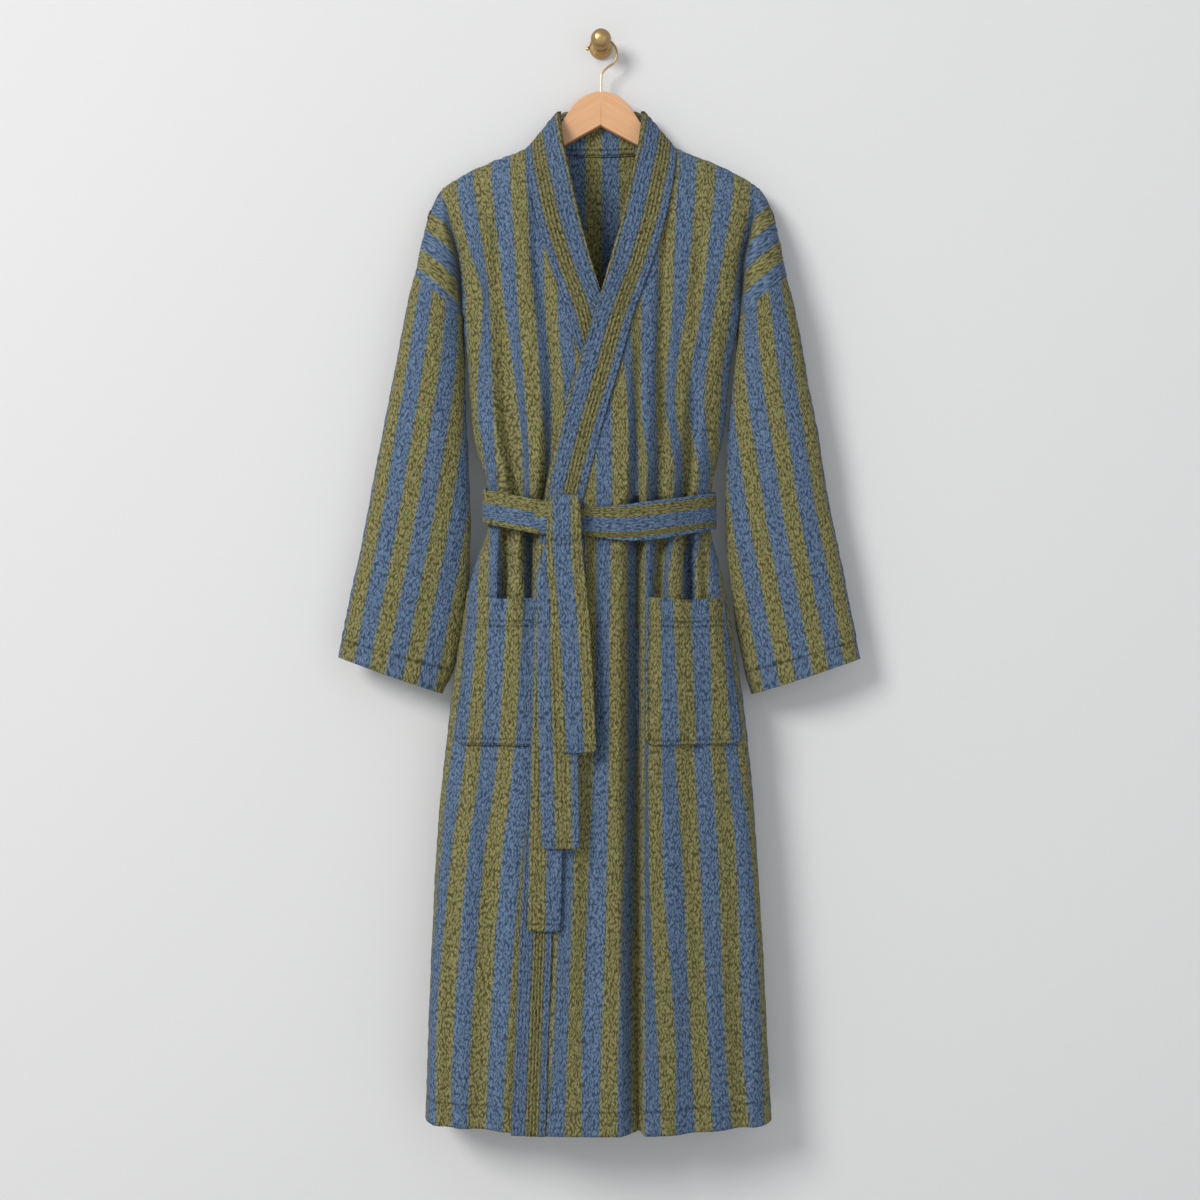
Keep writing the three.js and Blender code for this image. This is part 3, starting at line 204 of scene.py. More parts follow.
# The cloth's stripes are 22 mm wide, an olive one from each multiple of 44 mm. Where the lines
# between them run on each front: number of the first line, then height and x of each line
STRIPE = 22
STRIPE_LINES = {
    1: (-3, [
        (-139, -60, -40, -20, 0, 20, 40, 60, 80, 101, 124, 150, 175, 197, 218),
        (-171, -58, -39, -20, 0, 19, 38, 57, 77, 100, 122, 148, 172, 195, 216),
        (-216, -55, -37, -19, -1, 17, 35, 54, 72, 96, 119, 144, 167, 191, 213),
        (-281, -50, -33, -16, 1, 18, 36, 54, 73, 93, 113, 136, 156, 179, 200),
        (-345, -44, -27, -11, 5, 20, 36, 51, 72, 91, 108, 129, 145, 168, 190),
        (-474, -40, -23, -5, 13, 33, 42, 50, 69, 82, 93, 112, 131, 153, 172),
        (-569, -38, -22, -6, 13, 35, 46, 59, 72, 93, 105, 124, 140, 155, 172),
        (-704, -36, -19, -6, 11, 33, 45, 55, 67, 79, 84, 104, 118, 137, 153),
        (-936, -46, -29, -10, 9, 33, 44, 55, 58, 76, 93, 118, 139, 159, 175),
        (-1051, -50, -34, -15, 7, 29, 41, 54, 59, 77, 101, 124, 147, 171, 191),
        (-1306, -61, -43, -24, -1, 21, 37, 54, 71, 93, 113, 135, 156, 179, 204),
        (-1391, -67, -46, -24, -3, 20, 37, 55, 74, 92, 117, 140, 164, 187, 205),
    ]),
    -1: (-6, [
        (-139, -16, -36, -56, -76, -96, -117, -141, -165, -187, -205, -226),
        (-178, -18, -38, -57, -76, -96, -117, -141, -165, -186, -207, -228),
        (-216, -17, -36, -55, -74, -93, -114, -137, -160, -182, -203, -224),
        (-281, -19, -37, -55, -73, -90, -110, -130, -150, -167, -184, -202),
        (-345, -18, -37, -55, -72, -84, -106, -123, -142, -150, -174, -194),
        (-474, -12, -30, -47, -63, -75, -96, -106, -138, -158, -174, -190),
        (-550, -12, -30, -47, -64, -69, -91, -98, -134, -149, -165, -182),
        (-704, -12, -28, -44, -60, -70, -88, -97, -126, -142, -157, -174),
        (-802, -14, -28, -42, -56, -70, -86, -101, -124, -145, -163, -176),
        (-936, -12, -26, -40, -54, -70, -88, -111, -132, -153, -174, -193),
        (-1051, -12, -28, -44, -62, -80, -100, -124, -148, -168, -190, -205),
        (-1306, -26, -44, -62, -82, -101, -119, -141, -165, -187, -209, -230),
        (-1391, -20, -40, -60, -80, -101, -123, -144, -168, -189, -209, -229),
    ]),
}
# The same on the pockets, which are cut apart from the fronts
POCKET_LINES = {
    1: (4, [
        (-722, 60, 74, 89, 112, 135, 155, 172),
        (-765, 59, 75, 91, 114, 137, 156, 174),
        (-909, 54, 75, 98, 120, 139, 164, 184),
    ]),
    -1: (-1, [
        (-722, -78, -97, -118, -140, -156, -171),
        (-765, -80, -99, -120, -142, -158, -173),
        (-909, -88, -107, -129, -151, -170, -190),
    ]),
}
# Over the arm the stripes run along the armhole seam: how far across the cloth that seam lies, and
# where the cap of the arm takes over from the body
CAP_ACROSS = {1: 304, -1: 163}
CAP = {"inside": 2, "blend": 6, "from": -190, "fade": 35}
VALLEY_CREASE = {"deep": 11, "half": 6.5, "from": -205, "fade": 70, "clear": 26}
BACK_ACROSS = 20.9
# Where the cloth of a front turns back at its side, its stripes are spaced along the turn
SIDE_TURN = {"from": 12, "blend": 6, "most": 1.3}

# Stripes of the straps: places across the strap, and the places of the cloth that lie there
BAND_CUT = ((0, 10, 29.5, 50, 56), (-10, 0, 22, 44, 50))
BELT_RIGHT_CUT = ((-24, -14.8, 4, 24), (-31, -22, 0, 20))
BELT_LEFT_CUT = ((-24, -18.8, -11.8, 7.3, 20, 24), (-49, -44, -22, 0, 22, 27))
TAIL_SHIFTS = {"belt_tail_front": -8.2, "belt_tail_middle": 7, "belt_tail_back": 20}
SLEEVE_ACROSS = -8
# How much faster the stripes of the back run where it turns forward at the sides
BACK_SPREAD = 1.4

# Lumps of the visible cloth: their size across and along it, then how high they stand
NAP_SIZE, DRAPE_SIZE = (3.4, 8), (26, 70)
NAP_LUMPS, DRAPE_LUMPS, BAND_DRAPE, POCKET_DRAPE, BELT_LUMPS = 0.7, 0.8, 0.5, 0.4, 0.45
NOISE_CELLS = (97, 89)
# A distance from the stitched edge that is past every stitch
NO_EDGE = 400.0
FORWARD, BACKWARD = (0, -1, 0), (0, 1, 0)


# Arithmetic on arrays
def clamp(v):
    return np.clip(v, 0, 1)


def mix(a, b, v):
    return a + (b - a) * v


def soft(v):
    return clamp(v) ** 2 * (3 - 2 * clamp(v))


def quarter_round(v):
    return np.sqrt(np.maximum(0, 1 - (1 - clamp(v)) ** 2))


def through(values, v):
    a, b, c = values
    return a * (2 * v - 1) * (v - 1) + 4 * b * v * (1 - v) + c * v * (2 * v - 1)


def curve(rows, at=0, value=1):
    """A smooth curve through the rows of a table, the same as in the CAD model."""
    rows = sorted((float(r[at]), float(r[value])) for r in rows)
    p = np.array([r[0] for r in rows])
    q = np.array([r[1] for r in rows])
    secant = (q[1:] - q[:-1]) / (p[1:] - p[:-1])
    slope = np.zeros(len(p))
    slope[0], slope[-1] = secant[0], secant[-1]
    for i in range(1, len(p) - 1):
        a, b = secant[i - 1], secant[i]
        slope[i] = 0 if a * b <= 0 else 2 * a * b / (a + b)

    def value_at(v):
        w = np.clip(np.asarray(v, float), p[0], p[-1])
        i = np.clip(np.searchsorted(p, w, side="right") - 1, 0, len(p) - 2)
        step = p[i + 1] - p[i]
        t = (w - p[i]) / step
        rise = t * t * (3 - 2 * t)
        bend = step * t * (1 - t) * (slope[i] * (1 - t) - slope[i + 1] * t)
        return mix(q[i], q[i + 1], rise) + bend

    return value_at


def lattice_noise(u, v, size_u, size_v, seed):
    """Smooth noise from -1 to 1 over a plane, with lumps of the given sizes."""
    wide, high = NOISE_CELLS
    draws = np.random.default_rng(seed).uniform(-1, 1, NOISE_CELLS)
    a, b = np.asarray(u) / size_u, np.asarray(v) / size_v
    i, j = np.floor(a).astype(int), np.floor(b).astype(int)
    s, t = soft(a - i), soft(b - j)
    pick = lambda di, dj: draws[(i + di) % wide, (j + dj) % high]
    return mix(mix(pick(0, 0), pick(1, 0), s), mix(pick(0, 1), pick(1, 1), s), t)


level = {name: curve(LEVELS, 0, k) for k, name in enumerate(LEVEL_NAMES) if k}
valley_depth = curve(VALLEY)
neck_depth = curve(NECK_SEAM)


def side_x(z, x):
    return np.where(x < 0, -level["right"](z), level["left"](z))


def inward(x, z):
    """How far a point lies in from the side edge."""
    return side_x(z, x) - np.abs(x)


def fold_depth(folds, x, z):
    total = np.zeros(np.broadcast(x, z).shape)
    for top, end, at_x, half, steep, deep in folds:
        v = (top - z) / (top - end)
        past = np.maximum(-v, v - 1) * (top - end)
        at = clamp(v)
        away = x - through(at_x, at)
        off = np.abs(away) / np.where(away > 0, steep, half)
        fade = np.where(past > 0, 1 - soft(past / FOLD_FADE), 1)
        dip = fade * through(deep, at) * (1 + np.cos(np.pi * np.minimum(off, 1))) / 2
        total += np.where(off < 1, dip, 0)
    return total


def shoulder_near(x, z):
    """Nearest point of the shoulder seam: how far off it is, its depth and its x."""
    ridge = [(COLLAR_TOP_X, COLLAR_TOP, SHOULDER[0][2]), *SHOULDER]
    best = np.full(np.broadcast(x, z).shape, np.inf)
    depth, at_x = np.zeros(best.shape), np.zeros(best.shape)
    for a, b in zip(ridge, ridge[1:]):
        dx, dz = b[0] - a[0], b[1] - a[1]
        t = clamp(((np.abs(x) - a[0]) * dx + (z - a[1]) * dz) / (dx * dx + dz * dz))
        far = np.hypot(np.abs(x) - mix(a[0], b[0], t), z - mix(a[1], b[1], t))
        nearer = far < best
        best = np.where(nearer, far, best)
        depth = np.where(nearer, mix(a[2], b[2], t), depth)
        at_x = np.where(nearer, mix(a[0], b[0], t), at_x)
    return best, depth, at_x


def arm_share(at_x):
    return soft((at_x - ARM_FROM) / (TIP_X - ARM_FROM))


def front_envelope(x, z):
    side, floor = side_x(z, x), valley_depth(z)
    chest = mix(level["middle"](z), level["flank"](z), clamp(np.abs(x) / side) ** 2)
    inside = side - np.abs(x)
    body = floor + (chest - floor) * quarter_round(inside / SIDE_ROUND)
    arm = floor + (ARM_DEPTH - floor) * quarter_round(-inside / ARM_ROUND)
    return np.where(inside >= 0, body, arm)


def front_depth(x, z):
    far, depth, at_x = shoulder_near(x, z)
    inside = inward(x, z)
    reach = np.where(z < UNDERARM_Z, soft(inside / SIDE_ROUND), 1)
    full = front_envelope(x, z) - reach * fold_depth(FRONT_FOLDS, x, z)
    return mix(depth, full, quarter_round(far / mix(SHOULDER_ROUND, ARM_ROUND, arm_share(at_x))))


def back_depth(x, z):
    side = side_x(z, x)
    drop = soft((z - NECK_Z) / (UNDERARM_Z - NECK_Z)) ** 2
    upper = mix(level["back"](z), valley_depth(UNDERARM_Z), drop)
    floor = np.where(z < UNDERARM_Z, valley_depth(z), upper)
    inside = np.abs(side - np.abs(x))
    flat = level["back"](z) + soft(inside / BACK_ROUND) * fold_depth(BACK_FOLDS, x, z)
    full = mix(floor, flat, quarter_round(inside / BACK_ROUND))
    far, depth, at_x = shoulder_near(x, z)
    turn = mix(BACK_SHOULDER_ROUND, BACK_ROUND, arm_share(at_x))
    return mix(depth, full, quarter_round(far / turn))


def lap(x, z):
    return LAP["lift"] * (1 - soft((x - level["edge"](z) - LAP["clear"]) / LAP["fade"]))


def under(x, z):
    hidden = soft((x + level["edge"](z) - UNDER["clear"]) / UNDER["fade"])
    return hidden * (UNDER["drop"] - (front_envelope(x, z) - front_depth(x, z)))


def over(x, z):
    return front_envelope(x, z) + np.maximum(lap(x, z), 1) + BAND_PROUD


def laid_depth(hand, x, z):
    """The depth of a front where it lies: lapped over the other one, or under it."""
    return front_depth(x, z) + (lap(x, z) if hand > 0 else -under(x, z))


# Grids of points
def placed(x, depth, z):
    """Points at x and z, at a depth from the wall."""
    return np.stack(np.broadcast_arrays(x, -depth, z), -1)


def run_along(points):
    """How far along a line of points each one lies."""
    return np.concatenate([[0], np.cumsum(np.linalg.norm(np.diff(points, axis=0), axis=1))])


def grid_faces(rows, columns, wrapped=True, closed=False):
    """The quads of a grid of points; wrapped joins the ends of its rows, closed those of its columns."""
    i, j = np.meshgrid(np.arange(rows if closed else rows - 1),
                       np.arange(columns if wrapped else columns - 1), indexing="ij")
    below, nxt = (i + 1) % rows * columns, (j + 1) % columns
    here = i * columns
    return np.stack([here + j, below + j, below + nxt, here + nxt], 2).reshape(-1, 4)


def face_turns(points, faces):
    """The direction that each face looks in, as long as its size."""
    corner = points[faces]
    return np.cross(corner[:, 1] - corner[:, 0], corner[:, 2] - corner[:, 0])
def grid_normals(points, wrapped=False):
    """Unit normals of a grid of points, pointing to the left of its rows as seen going down."""
    if wrapped:
        along = np.roll(points, -1, 1) - np.roll(points, 1, 1)
    else:
        along = np.gradient(points, axis=1)
    down = np.gradient(points, axis=0)
    n = np.cross(down, along)
    return n / np.maximum(np.linalg.norm(n, axis=2, keepdims=True), 1e-9)


def shell(name, outer, thick, facing, across, length, edge, material, seed,
          wrapped=False, drape=DRAPE_LUMPS):
    """A closed piece of cloth: a grid of outer points and the same grid moved in by its thickness.
    across and length are each point's place on the flat cloth, in mm; facing is the side that the
    outer points are on; edge is each point's distance from the edge that is stitched."""
    normals = grid_normals(outer, wrapped)
    if (normals * facing).sum() < 0:
        normals = -normals
    lumps = NAP_LUMPS * lattice_noise(across, length, *NAP_SIZE, seed)
    lumps = lumps + drape * lattice_noise(across, length, *DRAPE_SIZE, seed + 1)
    skin = outer + normals * lumps[..., None]
    inner = outer - normals * thick
    points = np.concatenate([skin.reshape(-1, 3), inner.reshape(-1, 3)])
    rows, columns = outer.shape[:2]
    block = rows * columns
    quads = grid_faces(rows, columns, wrapped)
    top = np.arange(columns if wrapped else columns - 1)
    step = (top + 1) % columns
    last = block - columns
    faces = [quads, quads[:, [0, 3, 2, 1]] + block,
             np.stack([top, step, step + block, top + block], 1),
             np.stack([last + top, last + top + block, last + step + block, last + step], 1)]
    if not wrapped:
        start = np.arange(rows - 1) * columns
        end = start + columns - 1
        faces.append(np.stack([start, start + block, start + columns + block, start + columns], 1))
        faces.append(np.stack([end, end + columns, end + columns + block, end + block], 1))
    faces = np.concatenate(faces)
    if (face_turns(points, quads) * normals.reshape(-1, 3)[quads[:, 0]]).sum() < 0:
        faces = faces[:, ::-1]
    places = [np.tile(v.ravel(), 2) for v in np.broadcast_arrays(across, length, edge)]
    return piece(name, points, faces, places, material)


def tube(name, rings, across, length, edge, closed=False):
    """A closed form through rings of points: capped at both ends, or joined to itself if closed."""
    rows, around = rings.shape[:2]
    points = rings.reshape(-1, 3)
    faces = grid_faces(rows, around, closed=closed)
    if not closed:
        caps = np.array([[base + j, base + j + 1, base + around - 2 - j, base + around - 1 - j]
                         for base in (0, (rows - 1) * around) for j in range(around // 2 - 1)])
        half = len(caps) // 2
        caps[half:] = caps[half:, ::-1]
        faces = np.concatenate([faces, caps])
    centre = rings.mean(1).repeat(around, 0)[faces[:, 0]]
    if (face_turns(points, faces) * (points[faces].mean(1) - centre)).sum() < 0:
        faces = faces[:, ::-1]
    places = [v.ravel() for v in np.broadcast_arrays(across, length, edge)]
    return piece(name, points, faces, places, belt_fleece)


def piece(name, points, faces, places, material):
    """A piece of cloth made of quads. Its places are those across and along the flat cloth, kept as
    a UV map, and the distance from the stitched edge."""
    mesh = bpy.data.meshes.new(name + "_cloth")
    mesh.vertices.add(len(points))
    mesh.vertices.foreach_set("co", (points * MM).astype(np.float32).ravel())
    mesh.loops.add(faces.size)
    mesh.loops.foreach_set("vertex_index", faces.astype(np.int32).ravel())
    mesh.polygons.add(len(faces))
    mesh.polygons.foreach_set("loop_start", np.arange(0, faces.size, 4, dtype=np.int32))
    mesh.polygons.foreach_set("loop_total", np.full(len(faces), 4, np.int32))
    mesh.update(calc_edges=True)
    across, length, edge = places
    uv = np.stack([across, length], 1) * MM
    layer = mesh.uv_layers.new(name="cloth")
    layer.data.foreach_set("uv", uv[faces.ravel()].astype(np.float32).ravel())
    stitched = mesh.attributes.new("edge", "FLOAT", "POINT")
    stitched.data.foreach_set("value", (edge * MM).astype(np.float32))
    mesh.polygons.foreach_set("use_smooth", np.ones(len(faces), bool))
    return stand_for(name, new_object(name + "_cloth", mesh, material))


def new_object(name, mesh, material):
    mesh.materials.append(material)
    obj = bpy.data.objects.new(name, mesh)
    bpy.context.scene.collection.objects.link(obj)
    return obj


def stand_for(name, obj):
    """The object takes the place of the CAD model's node of that name."""
    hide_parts(name)
    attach(obj, "root")
    return obj


# Materials
def linear(colour):
    """A colour in sRGB hex as linear values."""
    parts = [int(colour[k:k + 2], 16) / 255 for k in (1, 3, 5)]
    return tuple(p / 12.92 if p <= 0.04045 else ((p + 0.055) / 1.055) ** 2.4 for p in parts) + (1,)


def new_material(name):
    material = bpy.data.materials.new(name)
    material.use_nodes = True
    tree = material.node_tree
    tree.nodes.clear()
    return material, tree


def add(tree, kind, settings=None, links=None, values=None):
    """A shader node with its settings, its links by socket, and the values of unlinked sockets."""
    made = tree.nodes.new("ShaderNode" + kind)
    for key, value in (settings or {}).items():
        setattr(made, key, value)
    for key, value in (values or {}).items():
        made.inputs[key].default_value = value
    for key, source in (links or {}).items():
        tree.links.new(source, made.inputs[key])
    return made


def maths(tree, operation, *terms, clamped=False):
    """One arithmetic step; each of its terms is a number or a socket."""
    made = add(tree, "Math", {"operation": operation, "use_clamp": clamped})
    for k, value in enumerate(terms):
        if isinstance(value, (int, float)):
            made.inputs[k].default_value = value
        else:
            tree.links.new(value, made.inputs[k])
    return made.outputs[0]


def noise(tree, place, scale, detail, roughness=0.5, distortion=0.0):
    return add(tree, "TexNoise", {"noise_dimensions": "3D"}, {"Vector": place},
               {"Scale": scale, "Detail": detail, "Roughness": roughness, "Distortion": distortion})


def blend(tree, share, first, second, way="MIX"):
    """One colour laid over another; each is a hex value or a socket."""
    made = add(tree, "Mix", {"data_type": "RGBA", "blend_type": way}, {0: share})
    for key, colour in ((6, first), (7, second)):
        if isinstance(colour, str):
            made.inputs[key].default_value = linear(colour)
        else:
            tree.links.new(colour, made.inputs[key])
    return made.outputs[2]


def ramp(tree, value, start, end, falling=False):
    """A soft rise from 0 at start to 1 at end; the other way if falling."""
    made = add(tree, "MapRange", {"interpolation_type": "SMOOTHSTEP"}, {"Value": value},
               {"From Min": start, "From Max": end,
                "To Min": float(falling), "To Max": float(not falling)})
    return made.outputs[0]


def principled(tree, links=None, values=None):
    """The surface of a material."""
    surface = add(tree, "BsdfPrincipled", links=links, values=values)
    add(tree, "OutputMaterial", links={"Surface": surface.outputs[0]})


# Stripe colours: a tone for the painted shade between the tufts, and a _LIT tone for the painted light on
# their crests
BLUE_SHADED, BLUE_LIT = "#384a61", "#6a809b"
OLIVE_SHADED, OLIVE_LIT = "#524e2b", "#908b5d"
# The painted shade that a rib's groove or a stitched line darkens the cloth to
GROOVE_SHADE_TINT = "#5a5a5a"

# Nap: tufts to the metre across and along the cloth, how far a wide swirl leans them and a small
# waver bends them, and how much of a tuft's height is its own
TUFTS = {"across": 460, "along": 185, "swirl": 0.010, "waver": 0.9, "own": 0.62}
SWIRLS = {"to_the_metre": 75.0, "patchy": 0.2}
# Tuft heights over which the colour goes from painted shade to painted light
CREST_FROM, CREST_TO = 0.34, 0.74
NAP_HEIGHT, NAP_STRENGTH = 0.0028, 0.85
STRIPE_WAVER, STRIPE_BLUR, STRIPE_START = 0.0022, 0.0009, 0.0004
# Ribs of the band and the belt, shallower on the blue, and how wide and deep a stitched line is;
# dark is how much painted shade each one darkens the cloth with
RIB = {"wide": 0.0055, "blue": 0.55, "dark": 0.48}
STITCH = {"half": 0.0024, "deep": 0.8, "dark": 0.26}


def fleece(name, ribs=0.0, stitches=()):
    """Deep plush fleece in stripes: short wavy tufts lying along the cloth, with painted light on their
    crests and painted shade between them, and a faint sheen. ribs is how strong the lengthwise ribs
    of a strap are; stitches are sunk lines at these distances from the stitched edge, in mm. Both
    ribs and stitches are darkened with painted shade in their grooves."""
    material, tree = new_material(name)
    place = add(tree, "UVMap", {"uv_map": "cloth"}).outputs[0]
    across, length = add(tree, "SeparateXYZ", links={0: place}).outputs[:2]
    swirl = maths(tree, "SUBTRACT", noise(tree, place, SWIRLS["to_the_metre"], 1.0).outputs["Fac"], 0.5)
    swirled = maths(tree, "ADD", across, maths(tree, "MULTIPLY", swirl, TUFTS["swirl"]))
    flow = add(tree, "CombineXYZ", links={
        0: maths(tree, "MULTIPLY", swirled, TUFTS["across"]),
        1: maths(tree, "MULTIPLY", length, TUFTS["along"])}).outputs[0]
    loose = noise(tree, flow, 0.8, 1.5, distortion=0.5)
    bent = add(tree, "VectorMath", {"operation": "MULTIPLY_ADD"},
               {0: loose.outputs["Color"], 2: flow}, {1: (TUFTS["waver"],) * 3})
    tuft = add(tree, "TexVoronoi", {"voronoi_dimensions": "2D", "feature": "F1"},
               {"Vector": bent.outputs[0]}, {"Scale": 1.0, "Randomness": 0.9})
    crown = maths(tree, "SUBTRACT", 1.0, tuft.outputs["Distance"], clamped=True)
    height = maths(tree, "MULTIPLY_ADD", crown, TUFTS["own"],
                   maths(tree, "MULTIPLY", loose.outputs["Fac"], 1 - TUFTS["own"]))
    waver = maths(tree, "MULTIPLY", maths(tree, "SUBTRACT", loose.outputs["Fac"], 0.5), STRIPE_WAVER)
    phase = maths(tree, "WRAP", maths(tree, "ADD", across, waver), 2 * STRIPE * MM, 0.0)
    middle = STRIPE * MM
    olive = maths(tree, "MULTIPLY",
                  ramp(tree, phase, middle - STRIPE_BLUR, middle + STRIPE_BLUR, True),
                  ramp(tree, phase, STRIPE_START - STRIPE_BLUR, STRIPE_START + STRIPE_BLUR))
    patch = maths(tree, "MULTIPLY", swirl, SWIRLS["patchy"])
    # Painted light on the tufts' crests and painted shade between them, in each stripe's colour
    lit = maths(tree, "ADD", ramp(tree, height, CREST_FROM, CREST_TO), patch, clamped=True)
    tint = blend(tree, olive, blend(tree, lit, BLUE_SHADED, BLUE_LIT), blend(tree, lit, OLIVE_SHADED, OLIVE_LIT))
    grooves, groove_shade = height, []
    if ribs:
        turn = maths(tree, "COSINE", maths(tree, "MULTIPLY", across, 2 * math.pi / RIB["wide"]))
        valley = maths(tree, "POWER", maths(tree, "MULTIPLY_ADD", turn, 0.5, 0.5), 2.0)
        share = maths(tree, "MULTIPLY_ADD", olive, 1 - RIB["blue"], RIB["blue"])
        valley = maths(tree, "MULTIPLY", maths(tree, "MULTIPLY", valley, share), ribs)
        grooves = maths(tree, "SUBTRACT", grooves, valley)
        # Painted shade in the groove of each rib
        groove_shade.append(maths(tree, "MULTIPLY", valley, RIB["dark"]))
    edge = add(tree, "Attribute", {"attribute_name": "edge"}).outputs["Fac"]
    sewn = []
    for distance in stitches:
        away = maths(tree, "ABSOLUTE", maths(tree, "SUBTRACT", edge, distance * MM))
        share = maths(tree, "DIVIDE", away, STITCH["half"])
        sewn.append(maths(tree, "SUBTRACT", 1.0, share, clamped=True))
    if sewn:
        line = most(tree, sewn)
        grooves = maths(tree, "SUBTRACT", grooves, maths(tree, "MULTIPLY", line, STITCH["deep"]))
        # Painted shade along each stitched line
        groove_shade.append(maths(tree, "MULTIPLY", line, STITCH["dark"]))
    if groove_shade:
        # The painted shade of the ribs and stitches multiplies the cloth's colour
        tint = blend(tree, most(tree, groove_shade), tint, GROOVE_SHADE_TINT, "MULTIPLY")
    bump = add(tree, "Bump", links={"Height": grooves},
               values={"Strength": NAP_STRENGTH, "Distance": NAP_HEIGHT})
    principled(tree, {"Base Color": tint, "Normal": bump.outputs[0]},
               {"Roughness": 0.95, "Specular IOR Level": 0.1, "Sheen Weight": 0.12,
                "Sheen Roughness": 0.5, "Sheen Tint": linear("#c9d2dc")})
    return material


def most(tree, sockets):
    """The largest of several values."""
    largest = sockets[0]
    for socket in sockets[1:]:
        largest = maths(tree, "MAXIMUM", largest, socket)
    return largest


panel_fleece = fleece("plush_fleece_stripes", stitches=(29,))
cuff_fleece = fleece("plush_fleece_cuff", stitches=(23,))
pocket_fleece = fleece("plush_fleece_pocket", stitches=(29, 36, 181, 187))
neck_fleece = fleece("plush_fleece_neck", stitches=(1, 8))
band_fleece = fleece("plush_fleece_ribbed_band", ribs=0.85)
belt_fleece = fleece("plush_fleece_ribbed_belt", ribs=0.4, stitches=(8,))


# How far across the cloth a point of a front lies
def across_field(hand, table):
    """A function of x and z: the distance across the flat cloth, in mm."""
    first, rows = table[hand]
    lines = [curve(rows, 0, k) for k in range(1, len(rows[0]))]
    run = np.array([TIP_X - UNDERARM_X, TIP_Z - UNDERARM_Z], float)
    run = run / np.hypot(*run)

    def field(x, z):
        at = x * hand
        places = [line(z) * hand for line in lines]
        body = first * STRIPE + np.minimum(at - places[0], 0) + np.maximum(at - places[-1], 0)
        for near, far in zip(places, places[1:]):
            body = body + STRIPE * clamp((at - near) / (far - near))
        off = (z - TIP_Z) * run[0] - (at - TIP_X) * run[1]
        cap = CAP_ACROSS[hand] - off
        beyond = soft((at - np.abs(side_x(z, x)) + CAP["inside"]) / CAP["blend"])
        return mix(body, cap, beyond * soft((CAP["from"] - z) / CAP["fade"]))

    return field


ARMHOLE_DROPS = [(0, 0), (1, 0.02), (2, 0.08), (3, 0.18), (4, 0.32), (5, 0.5), (6, 0.74), (7, 1)]
drop_curve = curve(ARMHOLE_DROPS)
steps = np.hypot(np.diff([p[0] for p in SHOULDER]), np.diff([p[1] for p in SHOULDER]))
shares = np.concatenate([[0], np.cumsum(steps)]) / steps.sum()
SHOULDER_BY_SHARE = [(s, *p) for s, p in zip(shares, SHOULDER)]
shoulder_x, shoulder_z, shoulder_depth = (curve(SHOULDER_BY_SHARE, 0, k) for k in (1, 2, 3))


def armhole(k):
    """The armhole seam at row k of 7: x, z, depth of its middle, and its swell."""
    angle = np.pi * (k / 7) ** 0.9
    v = (1 - np.cos(angle)) / 2
    middle = mix(TIP_DEPTH, valley_depth(UNDERARM_Z), v)
    return (mix(TIP_X, UNDERARM_X, v), mix(TIP_Z, UNDERARM_Z, v), middle,
            ARMHOLE_SWELL * np.sin(angle))


# Points of the grids: down a piece and across or round it, round a strap, and along the front and
# the back of the waist; and the step down a tail of the belt
GRIDS = {"band": (16, 20), "neck": (28, 50), "sleeve": (150, 110), "pocket": (90, 64), "strap": 44,
         "waist": (260, 130), "knot": (26, 72)}
TAIL_STEP = 3.5
UPPER_ROWS = np.linspace(0, 7, 56)
BODY_Z = np.linspace(UNDERARM_Z - 4, HEM_Z, 240)
# Columns of a front: up to this share of its width, and in the rest, which turns back at the side
FRONT_COLUMNS = {"share": 0.9, "flat": 112, "turned": 22}
# Columns of the back: along each shoulder, which has this share of them, and behind the neck
BACK_COLUMNS = {"share": 0.36, "shoulder": 40, "neck": 34}


def spans(*rows):
    return np.unique(np.concatenate([np.linspace(*row) for row in rows]))


def grid_shares(grid):
    """Shares from 0 to 1 down a grid and across it."""
    down, across = GRIDS[grid]
    return np.linspace(0, 1, down)[:, None], np.linspace(0, 1, across)[None, :]


def creases(hand, x, z):
    """How much deeper the visible cloth lies than the CAD model's."""
    turned = soft(inward(x, z) / SIDE_ROUND)
    clear = soft((hand * x + level["seam"](z)) / FOLD_EXTRA["clear"]) * turned
    return fold_depth(CREASES, x, z) * turned + FOLD_EXTRA["share"] * clear * fold_depth(FRONT_FOLDS, x, z)


def turned_across(across, outer):
    """The places across a front's cloth, spaced along its turn where it goes back at the side."""
    x, z = outer[..., 0], outer[..., 2]
    inside = inward(x, z)
    step = np.diff(outer[..., :2], axis=1, prepend=outer[:, :1, :2])
    reach = np.hypot(step[..., 0], step[..., 1])
    turned = soft((SIDE_TURN["from"] - inside) / SIDE_TURN["blend"]) * (z < UNDERARM_Z)
    grown = np.diff(across, axis=1, prepend=across[:, :1]) + (reach - np.abs(step[..., 0])) * turned
    limit = SIDE_TURN["most"] * reach
    grown = np.where(turned > 0, np.clip(grown, -limit, limit), grown)
    return across[:, :1] + np.cumsum(grown, axis=1)


